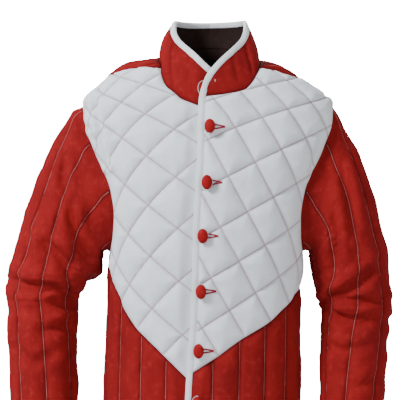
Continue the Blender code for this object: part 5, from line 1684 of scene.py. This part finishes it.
class StitchTree:
    """The node tree that lays stitches along edges whose points know which way the cloth faces."""

    FACING = "facing"

    def __init__(self) -> None:
        """Builds the tree once, for every row of sewing."""
        self.tree = bpy.data.node_groups.new("stitches", "GeometryNodeTree")
        self.given = self.node("NodeGroupInput")
        out = self.node("NodeGroupOutput")
        kinds = {"Length": "Float", "Width": "Float", "Height": "Float", "Step": "Float", "Across": "Bool"}
        self.identifiers = {}
        self.tree.interface.new_socket("Geometry", in_out="INPUT", socket_type="NodeSocketGeometry")
        for name, kind in [*kinds.items(), ("Thread", "Material")]:
            socket = self.tree.interface.new_socket(name, in_out="INPUT", socket_type=f"NodeSocket{kind}")
            self.identifiers[name] = socket.identifier
        self.tree.interface.new_socket("Geometry", in_out="OUTPUT", socket_type="NodeSocketGeometry")
        curve = self.node("GeometryNodeMeshToCurve", Mesh=self.given.outputs["Geometry"])
        even = self.node(
            "GeometryNodeResampleCurve",
            {"mode": "LENGTH"},
            Curve=curve.outputs[0],
            Length=self.given.outputs["Step"],
        )
        facing = self.node("GeometryNodeInputNamedAttribute", {"data_type": "FLOAT_VECTOR"}, Name=self.FACING)
        tangent = self.node("GeometryNodeInputTangent")
        square = self.node("ShaderNodeVectorMath", {"operation": "CROSS_PRODUCT"})
        self.tree.links.new(tangent.outputs[0], square.inputs[0])
        self.tree.links.new(facing.outputs["Attribute"], square.inputs[1])
        way = self.node(
            "GeometryNodeSwitch",
            {"input_type": "VECTOR"},
            Switch=self.given.outputs["Across"],
            **{"False": tangent.outputs[0], "True": square.outputs[0]},
        )
        turn = self.node("FunctionNodeAxesToRotation", {"primary_axis": "Z", "secondary_axis": "X"})
        self.tree.links.new(facing.outputs["Attribute"], turn.inputs[0])
        self.tree.links.new(way.outputs[0], turn.inputs[1])
        laid = self.node(
            "GeometryNodeInstanceOnPoints",
            Points=even.outputs[0],
            Instance=self.stitch(),
            Rotation=turn.outputs[0],
            Scale=self.varied(),
        )
        whole = self.node("GeometryNodeRealizeInstances", Geometry=laid.outputs[0])
        thread = self.given.outputs["Thread"]
        done = self.node("GeometryNodeSetMaterial", Geometry=whole.outputs[0], Material=thread)
        self.tree.links.new(done.outputs[0], out.inputs[0])

    def node(self, kind: str, settings: dict[str, Any] | None = None, **inputs: Any) -> bpy.types.Node:
        """Adds a node.

        Args:
            kind: The node's type.
            settings: Properties that are set before anything is linked.
            **inputs: Values or sockets for its inputs.

        Returns:
            The node.
        """
        made = self.tree.nodes.new(kind)
        for name, value in (settings or {}).items():
            setattr(made, name, value)
        for name, value in inputs.items():
            if isinstance(value, bpy.types.NodeSocket):
                self.tree.links.new(value, made.inputs[name])
            else:
                made.inputs[name].default_value = value
        return made

    def stitch(self) -> bpy.types.NodeSocket:
        """One stitch as a small stretched ball."""
        ball = self.node("GeometryNodeMeshUVSphere", Segments=6, Rings=4, Radius=0.5)
        size = self.node(
            "ShaderNodeCombineXYZ",
            X=self.given.outputs["Length"],
            Y=self.given.outputs["Width"],
            Z=self.given.outputs["Height"],
        )
        return self.node("GeometryNodeTransform", Geometry=ball.outputs[0], Scale=size.outputs[0]).outputs[0]

    def varied(self, least: float = 0.86, most: float = 1.08, seed: int = 3) -> bpy.types.NodeSocket:
        """A size that varies a little from stitch to stitch."""
        chance = self.node("FunctionNodeRandomValue", {"data_type": "FLOAT"}, Seed=seed)
        limits = [socket for socket in chance.inputs if socket.name in ("Min", "Max")]
        floats = [socket for socket in limits if socket.type == "VALUE"]
        for socket, value in zip(floats, (least, most)):
            socket.default_value = value
        return next(socket for socket in chance.outputs if socket.type == "VALUE")

    def lay(
        self, name: str, paths: Sequence[Placed], stitch: Stitch, thread: "Finish"
    ) -> bpy.types.Object:
        """Lays stitches along several rows.

        Args:
            name: The piece's name.
            paths: Places and normals of each row.
            stitch: The stitch.
            thread: The thread's finish.

        Returns:
            The stitches as one plain mesh.
        """
        points = np.vstack([places for places, _ in paths])
        facing = unit(np.vstack([normals for _, normals in paths]))
        starts = np.concatenate([[0], np.cumsum([len(places) for places, _ in paths])])
        edges = [(k, k + 1) for a, b in zip(starts[:-1], starts[1:]) for k in range(a, b - 1)]
        guide = bpy.data.meshes.new(f"{name}_rows")
        guide.from_pydata(points.tolist(), edges, [])
        layer = guide.attributes.new(self.FACING, "FLOAT_VECTOR", "POINT")
        layer.data.foreach_set("vector", facing.astype(np.float32).ravel())
        source = linked(f"{name}_rows", guide)
        modifier = source.modifiers.new("stitches", "NODES")
        modifier.node_group = self.tree
        values = {
            "Length": stitch.length,
            "Width": stitch.width,
            "Height": stitch.height,
            "Step": stitch.step,
            "Across": stitch.lie.value,
            "Thread": thread.material(),
        }
        for key, value in values.items():
            modifier[self.identifiers[key]] = value
        graph = bpy.context.evaluated_depsgraph_get()
        mesh = bpy.data.meshes.new_from_object(source.evaluated_get(graph))
        mesh.name = name
        bpy.data.objects.remove(source)
        bpy.data.meshes.remove(guide)
        mesh.polygons.foreach_set("use_smooth", np.ones(len(mesh.polygons), bool))
        return linked(name, mesh)


@dataclass(frozen=True)
class Value:
    """A shader socket that can be added, multiplied and shaped."""

    graph: "Graph"
    socket: bpy.types.NodeSocket

    def __add__(self, other: Any) -> "Value":
        """The sum with a value or a number."""
        return self.graph.math("ADD", self, other)

    def __sub__(self, other: Any) -> "Value":
        """The difference to a value or a number."""
        return self.graph.math("SUBTRACT", self, other)

    def __mul__(self, other: Any) -> "Value":
        """The product with a value or a number."""
        return self.graph.math("MULTIPLY", self, other)

    def __rsub__(self, other: Any) -> "Value":
        """A number less this value."""
        return self.graph.math("SUBTRACT", other, self)

    __radd__ = __add__
    __rmul__ = __mul__

    def sine(self) -> "Value":
        """The sine."""
        return self.graph.math("SINE", self)

    def between(self, low: float, high: float) -> "Value":
        """0 at `low` and 1 at `high`, with a smooth rise between."""
        made = self.graph.node("ShaderNodeMapRange", {"interpolation_type": "SMOOTHSTEP"})
        self.graph.join(self, made.inputs["Value"])
        made.inputs["From Min"].default_value = low
        made.inputs["From Max"].default_value = high
        return Value(self.graph, made.outputs["Result"])


class Graph:
    """The nodes of one material."""

    def __init__(self, name: str) -> None:
        """Starts an empty material with its output."""
        self.material = bpy.data.materials.new(name)
        self.material.use_nodes = True
        self.tree = self.material.node_tree
        self.tree.nodes.clear()
        self.out = self.node("ShaderNodeOutputMaterial")

    def join(self, value: Any, socket: bpy.types.NodeSocket) -> None:
        """Links a value or a socket to an input, or sets it."""
        if isinstance(value, Value):
            value = value.socket
        if isinstance(value, bpy.types.NodeSocket):
            self.tree.links.new(value, socket)
        else:
            socket.default_value = value

    def node(self, kind: str, settings: dict[str, Any] | None = None, **inputs: Any) -> bpy.types.Node:
        """Adds a node.

        Args:
            kind: The node's type.
            settings: Properties that are set before anything is linked.
            **inputs: Values or sockets for its inputs, with spaces in a name written as _.

        Returns:
            The node.
        """
        made = self.tree.nodes.new(kind)
        for name, value in (settings or {}).items():
            setattr(made, name, value)
        for name, value in inputs.items():
            self.join(value, made.inputs[name.replace("_", " ")])
        return made

    def math(self, operation: str, *values: Any) -> Value:
        """A sum, product or other function of numbers."""
        made = self.node("ShaderNodeMath", {"operation": operation})
        for value, socket in zip(values, made.inputs):
            self.join(value, socket)
        return Value(self, made.outputs[0])

    def mix(self, factor: Value, first: Any, second: Any) -> Value:
        """A blend of two colours."""
        made = self.node("ShaderNodeMix", {"data_type": "RGBA"})
        colours = [socket for socket in made.inputs if socket.type == "RGBA"]
        self.join(factor, made.inputs[0])
        self.join(first, colours[0])
        self.join(second, colours[1])
        return Value(self, next(socket for socket in made.outputs if socket.type == "RGBA"))

    def stretched(self, coordinates: Any, by: tuple[float, float, float]) -> Value:
        """Coordinates multiplied axis by axis."""
        made = self.node("ShaderNodeVectorMath", {"operation": "MULTIPLY"})
        self.join(coordinates, made.inputs[0])
        made.inputs[1].default_value = by
        return Value(self, made.outputs[0])

    def noise(self, coordinates: Value, scale: float, detail: float = 3.0) -> Value:
        """Soft noise about 0.5."""
        made = self.node("ShaderNodeTexNoise", Vector=coordinates, Scale=scale, Detail=detail, Roughness=0.55)
        return Value(self, made.outputs[0])


Colour = tuple[float, float, float]


def rgba(colour: Colour) -> tuple[float, float, float, float]:
    """A colour with full strength."""
    return (*colour, 1.0)


@dataclass(frozen=True)
class Finish:
    """A woven cloth, with its own thread count, unevenness and wear, and painted shade in the grooves along
    its sewing.
    """

    name: str
    colour: Colour
    shade: Colour
    worn: Colour
    # Painted along the sewing: shade in the stitched grooves, partly the thread's dye and dust.
    seam: Colour
    rough: float = 0.85
    sheen: float = 0.25
    thread: float = 0.00062
    slub: float = 0.5
    wear: float = 0.5
    # How strongly the painted groove shade is mixed in.
    drawn: float = 0.6
    bump: float = 0.35
    gloss: float = 0.15
    woven: bool = True

    def material(self) -> bpy.types.Material:
        """The material, built on first use."""
        return bpy.data.materials.get(self.name) or self.build()

    def build(self) -> bpy.types.Material:
        """Builds the material."""
        graph = Graph(self.name)
        cloth = Value(graph, graph.node("ShaderNodeUVMap", {"uv_map": "cloth"}).outputs["UV"])
        place = Value(graph, graph.node("ShaderNodeTexCoord").outputs["Object"])
        # Closeness to sewing, which sets where the groove shade is painted.
        sewn = Value(graph, graph.node("ShaderNodeAttribute", {"attribute_name": "sewn"}).outputs["Fac"])
        weave = self.weave(graph, cloth) if self.woven else graph.noise(place, 2400.0, 2.0)
        colour = self.dyed(graph, place, sewn, weave)
        pores = graph.noise(place, 900.0, 2.0)
        crush = graph.noise(graph.stretched(place, (1.0, 1.0, 0.6)), 170.0, 4.0)
        height = weave * 0.5 + pores * 0.35 + crush * 0.9
        bump = graph.node("ShaderNodeBump", Strength=self.bump, Distance=0.0010, Height=height)
        rough = self.rough + (crush - 0.5) * 0.10
        shader = graph.node(
            "ShaderNodeBsdfPrincipled",
            Base_Color=colour,
            Roughness=rough,
            Normal=bump.outputs[0],
            Specular_IOR_Level=self.gloss,
            Sheen_Weight=self.sheen,
            Sheen_Roughness=0.45,
            Sheen_Tint=rgba(self.worn),
        )
        graph.join(shader.outputs[0], graph.out.inputs["Surface"])
        return graph.material

    def weave(self, graph: Graph, cloth: Value) -> Value:
        """Over-and-under threads with uneven thickness."""
        parts = graph.node("ShaderNodeSeparateXYZ", Vector=cloth)
        wander = (graph.noise(cloth, 260.0, 2.0) - 0.5) * (self.thread * 3.0)
        turns = 2 * math.pi / self.thread
        warp = ((Value(graph, parts.outputs[0]) + wander) * turns).sine()
        weft = ((Value(graph, parts.outputs[1]) - wander) * turns).sine()
        thick = graph.noise(graph.stretched(cloth, (1.0, 0.12, 1.0)), 900.0, 1.0)
        thin = graph.noise(graph.stretched(cloth, (0.12, 1.0, 1.0)), 900.0, 1.0)
        return warp * weft * 0.5 + (thick + thin) * (0.5 * self.slub)

    def dyed(self, graph: Graph, place: Value, sewn: Value, weave: Value) -> Value:
        """The colour: uneven dye, paler where the padding rubs, and darker along the sewing as painted shade
        in the stitched grooves, partly the thread's dye and dust.
        """
        broad = graph.noise(place, 7.0, 4.0).between(0.30, 0.72)
        blotch = graph.noise(graph.stretched(place, (1.0, 1.0, 0.45)), 42.0, 5.0).between(0.32, 0.70)
        grain = weave.between(-0.5, 1.1)
        colour = graph.mix(broad * 0.35 + blotch * 0.35, rgba(self.colour), rgba(self.shade))
        colour = graph.mix((1.0 - grain) * 0.22, colour, rgba(self.shade))
        rubbed = graph.noise(place, 95.0, 5.0).between(0.50, 0.74) * (1.0 - sewn)
        colour = graph.mix(rubbed * self.wear, colour, rgba(self.worn))
        # Painted shade in the stitched grooves, partly the thread's dye and dust.
        return graph.mix(sewn * self.drawn, colour, rgba(self.seam))


# The fourth colour of each finish is painted along its sewing: shade in the stitched grooves, partly the
# thread's dye and dust.
WHITE = Finish(
    "white_cotton", (0.735, 0.772, 0.810), (0.635, 0.670, 0.718), (0.80, 0.830, 0.860), (0.42, 0.31, 0.36),
    rough=0.82, sheen=0.05, wear=0.35, drawn=0.62,
)
RED = Finish(
    "red_cotton", (0.255, 0.0115, 0.0120), (0.140, 0.0062, 0.0070),
    (0.345, 0.0255, 0.0235), (0.045, 0.0020, 0.0024),
    rough=0.86, sheen=0.04, thread=0.00075, wear=0.36, drawn=0.72, gloss=0.06,
)
LINING = Finish(
    "dark_lining", (0.026, 0.015, 0.013), (0.016, 0.009, 0.008), (0.046, 0.028, 0.024), (0.012, 0.007, 0.006),
    rough=0.92, sheen=0.0, gloss=0.04, thread=0.0009, wear=0.30, drawn=0.3,
)
TAPE = Finish(
    "binding_tape", (0.76, 0.785, 0.805), (0.64, 0.67, 0.70), (0.84, 0.86, 0.87), (0.55, 0.56, 0.60),
    rough=0.80, sheen=0.12, thread=0.00055, wear=0.35, drawn=0.3,
)
BUTTON_CLOTH = Finish(
    "button_cotton", (0.300, 0.0100, 0.0120), (0.180, 0.0056, 0.0070),
    (0.390, 0.0250, 0.0260), (0.07, 0.0016, 0.0020),
    rough=0.78, sheen=0.04, thread=0.0006, wear=0.45, drawn=0.3, gloss=0.08,
)
MAUVE_THREAD = Finish(
    "mauve_thread", (0.24, 0.075, 0.10), (0.16, 0.05, 0.07), (0.33, 0.13, 0.16), (0.16, 0.05, 0.07),
    rough=0.70, sheen=0.0, wear=0.4, drawn=0.0, gloss=0.05, woven=False,
)
PINK_THREAD = Finish(
    "pink_thread", (0.66, 0.25, 0.235), (0.52, 0.17, 0.16), (0.74, 0.34, 0.31), (0.52, 0.17, 0.16),
    rough=0.70, sheen=0.0, wear=0.4, drawn=0.0, gloss=0.05, woven=False,
)
HOLE_THREAD = Finish(
    "hole_thread", (0.34, 0.022, 0.045), (0.22, 0.013, 0.028), (0.44, 0.060, 0.085), (0.22, 0.013, 0.028),
    rough=0.70, sheen=0.0, wear=0.4, drawn=0.0, gloss=0.05, woven=False,
)
PALE_THREAD = Finish(
    "pale_thread", (0.70, 0.70, 0.72), (0.58, 0.58, 0.61), (0.80, 0.80, 0.81), (0.58, 0.58, 0.61),
    rough=0.70, sheen=0.0, wear=0.4, drawn=0.0, gloss=0.05, woven=False,
)


@dataclass(frozen=True)
class Buttonhole:
    """A worked buttonhole: two satin-stitched lips that run from behind its button to a point."""

    spot: Spot
    start: float = 0.0060
    reach: float = 0.0250
    spread: float = 0.0036
    bar: float = 0.0016
    raised: float = 0.0007

    def paths(self, panel: Panel) -> list[Placed]:
        """The rows of satin stitches.

        Args:
            panel: The panel that it is cut in.

        Returns:
            Places and normals of each row.
        """
        along_x = np.linspace(self.start, self.reach, 18)
        share = (along_x - self.start) / (self.reach - self.start)
        rows = []
        for sign in (-1, 1):
            off = sign * (self.spread * (1 - share) ** 0.8 + 0.0005)
            rows.append(self.row(panel, along_x, off))
        rise = np.linspace(-self.bar, self.bar, 5)
        return rows + [self.row(panel, np.full(5, self.reach + 0.0006), rise)]

    def row(self, panel: Panel, across: Array, up: Array) -> Placed:
        """One row on the panel, by places from the button's centre."""
        spots = np.array(
            [
                (TORSO.arc_at(self.spot.x + dx, self.spot.z + dz), float(TORSO.drop_at(self.spot.z + dz)))
                for dx, dz in zip(across, up)
            ]
        )
        normals = panel.place(spots[:, 0], spots[:, 1])[1]
        return panel.outer(spots, panel.height(spots) + self.raised), normals


@dataclass
class Piece:
    """A finished object with what it stands for and how its cloth was cut."""

    made: bpy.types.Object
    slot: str
    node: str | None = None
    cut: tuple[float, float] | None = None
    area: float | None = None
    trims: list[bpy.types.Object] = field(default_factory=list)

    def declare(self) -> None:
        """Parents the piece and its trims to the body, hides the solid that it replaces and logs its number
        of faces.
        """
        for made in (self.made, *self.trims):
            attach(made, BODY)
        if self.node is not None:
            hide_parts(self.node)
        LOG.info("%s: %d faces", self.made.name, len(self.made.data.polygons))


class Jacket:
    """The whole jacket, piece by piece in the order that a maker sews it."""

    SLEEVE_CUT = ((0.48, 0.66), 0.275)
    COLLAR_CUT = ((0.50, 0.12), 0.048)
    LINING_CUT = ((0.44, 0.075), 0.028)
    TAPE_WIDTH = 0.018

    def __init__(self) -> None:
        """Draws the seams that neighbouring pieces share."""
        self.seams = {side: Seams(side) for side in Side}
        self.collar = Collar(self.seams)
        self.stitches = StitchTree()
        self.panels: dict[str, Panel] = {}

    def add(self, piece: Piece) -> None:
        piece.declare()

    def sew(self, name: str, paths: Sequence[Placed], stitch: Stitch, thread: Finish) -> bpy.types.Object:
        """A piece's rows of stitches."""
        return self.stitches.lay(f"{name}_stitches", paths, stitch, thread)

    def add_panels(self) -> None:
        """The five panels of the body."""
        body = Body(self.seams)
        work = [(body.chest(side), WHITE, "white_cloth", MAUVE_THREAD) for side in Side]
        work += [(body.front(side), RED, "red_cloth", PINK_THREAD) for side in Side]
        work.append((body.back(), RED, "red_cloth", PINK_THREAD))
        for panel, cloth, slot, thread in work:
            made = panel.shape().build(f"{panel.name}_cloth", cloth, LINING)
            rows = self.sew(panel.name, panel.stitch_paths(), QUILTING_STITCH, thread)
            width, length, area = panel.cloth_size()
            self.panels[panel.name] = panel
            self.add(Piece(made, slot, panel.name, (width, length), area, [rows]))

    def add_sleeves(self) -> None:
        """The two quilted sleeves."""
        for side in Side:
            sleeve = Sleeve(side)
            made = sleeve.shape().build(f"{sleeve.name}_cloth", RED, LINING)
            rows = self.sew(sleeve.name, sleeve.stitch_paths(), QUILTING_STITCH, PINK_THREAD)
            cut, area = self.SLEEVE_CUT
            self.add(Piece(made, "red_cloth", sleeve.name, cut, area, [rows]))

    def add_collar(self) -> None:
        """The collar's two layers and the white tape that binds its edge and the front edge."""
        outside = self.collar.outside().build("collar_cloth", RED, LINING)
        self.add(Piece(outside, "red_cloth", "collar", *self.COLLAR_CUT))
        inside_ = self.collar.inside().build("collar_lining_cloth", LINING, LINING)
        self.add(Piece(inside_, "lining_cloth", "collar_lining", *self.LINING_CUT))
        for side in Side:
            binding = Binding(self.collar, side)
            bead = binding.bead()
            half = WALL.binding_width / 2
            made = bead.shape(half, 101 + side.value).build(f"{binding.name}_tape", TAPE)
            rows = self.sew(binding.name, bead.stitch_paths(half), EDGE_STITCH, PALE_THREAD)
            length = float(np.linalg.norm(np.diff(bead.centre, axis=0), axis=1).sum())
            cut = (self.TAPE_WIDTH, length)
            self.add(Piece(made, "binding_cloth", binding.name, cut, self.TAPE_WIDTH * length, [rows]))

    def add_buttons(self) -> None:
        """The covered buttons, each with a thread ring beneath and a worked buttonhole beside it."""
        rows = []
        for number, spot in enumerate(BUTTONS, 1):
            panel = self.panels["chest_left" if number <= 5 else "front_left"]
            at = np.array([[TORSO.arc_at(spot.x, spot.z), float(TORSO.drop_at(spot.z))]])
            place, normal = panel.outer(at, panel.height(at))[0], panel.place(at[:, 0], at[:, 1])[1][0]
            seat = Seat.at(place, normal)
            made = Button(seat, seed=number).shape().build(f"button_{number}_dome", BUTTON_CLOTH)
            self.add(Piece(made, "button_cloth", f"button_{number}"))
            rows.append(seat.ring(0.0098, 0.0134))
            hole = Buttonhole(spot)
            satin = self.stitches.lay(f"buttonhole_{number}", hole.paths(panel), SATIN_STITCH, HOLE_THREAD)
            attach(satin, BODY)
        rings = self.stitches.lay("button_rings", rows, RING_STITCH, PALE_THREAD)
        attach(rings, BODY)

    def add_collar_button(self) -> None:
        """The flat covered button at the throat, half under the overlapping collar."""
        place, normal = self.collar.outer_place(-0.0045, -0.0545, Side.RIGHT)
        seat = Seat.at(place, normal)
        button = Button(seat, 0.0085, 0.0016, 0.0125, 0.0002, seed=9)
        made = button.shape().build("collar_button", BUTTON_CLOTH)
        rows = [seat.ring(0.0092, 0.0134)]
        ring = self.stitches.lay("collar_button_ring", rows, COLLAR_RING_STITCH, PALE_THREAD)
        tack = self.stitches.lay("collar_tack", [self.tack()], TACK_STITCH, PALE_THREAD)
        for piece in (made, ring, tack):
            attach(piece, BODY)

    def tack(self) -> Placed:
        """The few pale stitches that fasten the overlapping collar's end."""
        place, normal = self.collar.outer_place(0.0158, -0.0423, Side.LEFT)
        middle = place + 0.0006 * normal
        rise = np.array([0.0, 0.0, 0.0010])
        return np.array([middle - rise, middle, middle + rise]), np.array([normal] * 3)

    def build(self) -> None:
        """Builds every piece."""
        self.add_panels()
        self.add_sleeves()
        self.add_collar()
        self.add_buttons()
        self.add_collar_button()


@dataclass(frozen=True)
class Lamp:
    """A large soft light."""

    name: str
    place: tuple[float, float, float]
    target: tuple[float, float, float]
    size: float
    watts: float
    colour: Colour

    def add(self) -> None:
        """Adds the light to the scene."""
        data = bpy.data.lights.new(self.name, "AREA")
        data.shape, data.size = "DISK", self.size
        data.energy, data.color = self.watts, self.colour
        lamp = linked(self.name, data)
        lamp.location = self.place
        lamp.rotation_euler = (Vector(self.target) - Vector(self.place)).to_track_quat("-Z", "Y").to_euler()


@dataclass(frozen=True)
class Studio:
    """A plain pale floor, soft lights and a camera at chest height."""

    middle: tuple[float, float, float] = (-0.00925, 0.0, -0.2553)
    distance: float = 3.0
    seen_width: float = 0.74
    floor_height: float = -1.45
    floor_radius: float = 2.2
    lamps: tuple[Lamp, ...] = (
        Lamp("key", (-2.3, -1.7, 1.7), (0.0, 0.0, -0.35), 1.1, 210.0, (0.93, 0.97, 1.0)),
        Lamp("fill", (2.0, -2.2, 0.3), (0.0, 0.0, -0.35), 1.8, 30.0, (1.0, 0.97, 0.94)),
        Lamp("back", (0.4, 2.0, 1.6), (0.0, 0.0, -0.3), 1.2, 40.0, (1.0, 1.0, 1.0)),
    )

    def build(self) -> None:
        """Builds the studio."""
        self.add_floor()
        for lamp in self.lamps:
            lamp.add()
        self.add_world()
        self.add_camera()

    def add_floor(self, count: int = 96) -> None:
        """A round floor well below the jacket."""
        turn = 2 * math.pi * np.arange(count) / count
        rim = np.stack([self.floor_radius * np.cos(turn), self.floor_radius * np.sin(turn), 0 * turn], axis=1)
        mesh = bpy.data.meshes.new("floor")
        mesh.from_pydata((rim + [0, 0, self.floor_height]).tolist(), [], [list(range(count))])
        graph = Graph("floor")
        place = graph.node("ShaderNodeTexCoord").outputs["Object"]
        grain = graph.noise(Value(graph, place), 60.0, 4.0)
        colour = graph.mix(grain, rgba((0.80, 0.80, 0.80)), rgba((0.86, 0.86, 0.86)))
        shader = graph.node("ShaderNodeBsdfPrincipled", Base_Color=colour, Roughness=0.7)
        graph.join(shader.outputs[0], graph.out.inputs["Surface"])
        mesh.materials.append(graph.material)
        linked("floor", mesh)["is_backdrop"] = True

    def add_world(self, seen: float = 25.0, lit: float = 0.50) -> None:
        """White behind the jacket, and a softer light from all round."""
        world = bpy.data.worlds.new("studio")
        world.use_nodes = True
        tree = world.node_tree
        tree.nodes.clear()
        path = tree.nodes.new("ShaderNodeLightPath")
        behind, around = (tree.nodes.new("ShaderNodeBackground") for _ in range(2))
        behind.inputs["Strength"].default_value = seen
        behind.inputs["Color"].default_value = (1.0, 1.0, 1.0, 1.0)
        around.inputs["Strength"].default_value = lit
        around.inputs["Color"].default_value = (0.96, 0.98, 1.0, 1.0)
        choice = tree.nodes.new("ShaderNodeMixShader")
        out = tree.nodes.new("ShaderNodeOutputWorld")
        tree.links.new(path.outputs["Is Camera Ray"], choice.inputs[0])
        tree.links.new(around.outputs[0], choice.inputs[1])
        tree.links.new(behind.outputs[0], choice.inputs[2])
        tree.links.new(choice.outputs[0], out.inputs["Surface"])
        bpy.context.scene.world = world

    def add_camera(self) -> None:
        """A level camera straight in front."""
        data = bpy.data.cameras.new("camera")
        data.sensor_width = 36.0
        data.lens = data.sensor_width * self.distance / self.seen_width
        camera = linked("camera", data)
        x, y, z = self.middle
        camera.location = (x, y - self.distance, z)
        camera.rotation_euler = (math.pi / 2, 0, 0)
        bpy.context.scene.camera = camera


def size() -> list[list[float]]:
    """The lowest and highest corner of what is shown, as plain numbers."""
    return [[float(value) for value in corner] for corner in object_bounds()]


def main() -> None:
    """Builds the jacket and its studio."""
    logging.basicConfig(level=logging.INFO, format="%(message)s")
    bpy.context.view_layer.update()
    Jacket().build()
    Studio().build()


if __name__ == "__main__":
    main()
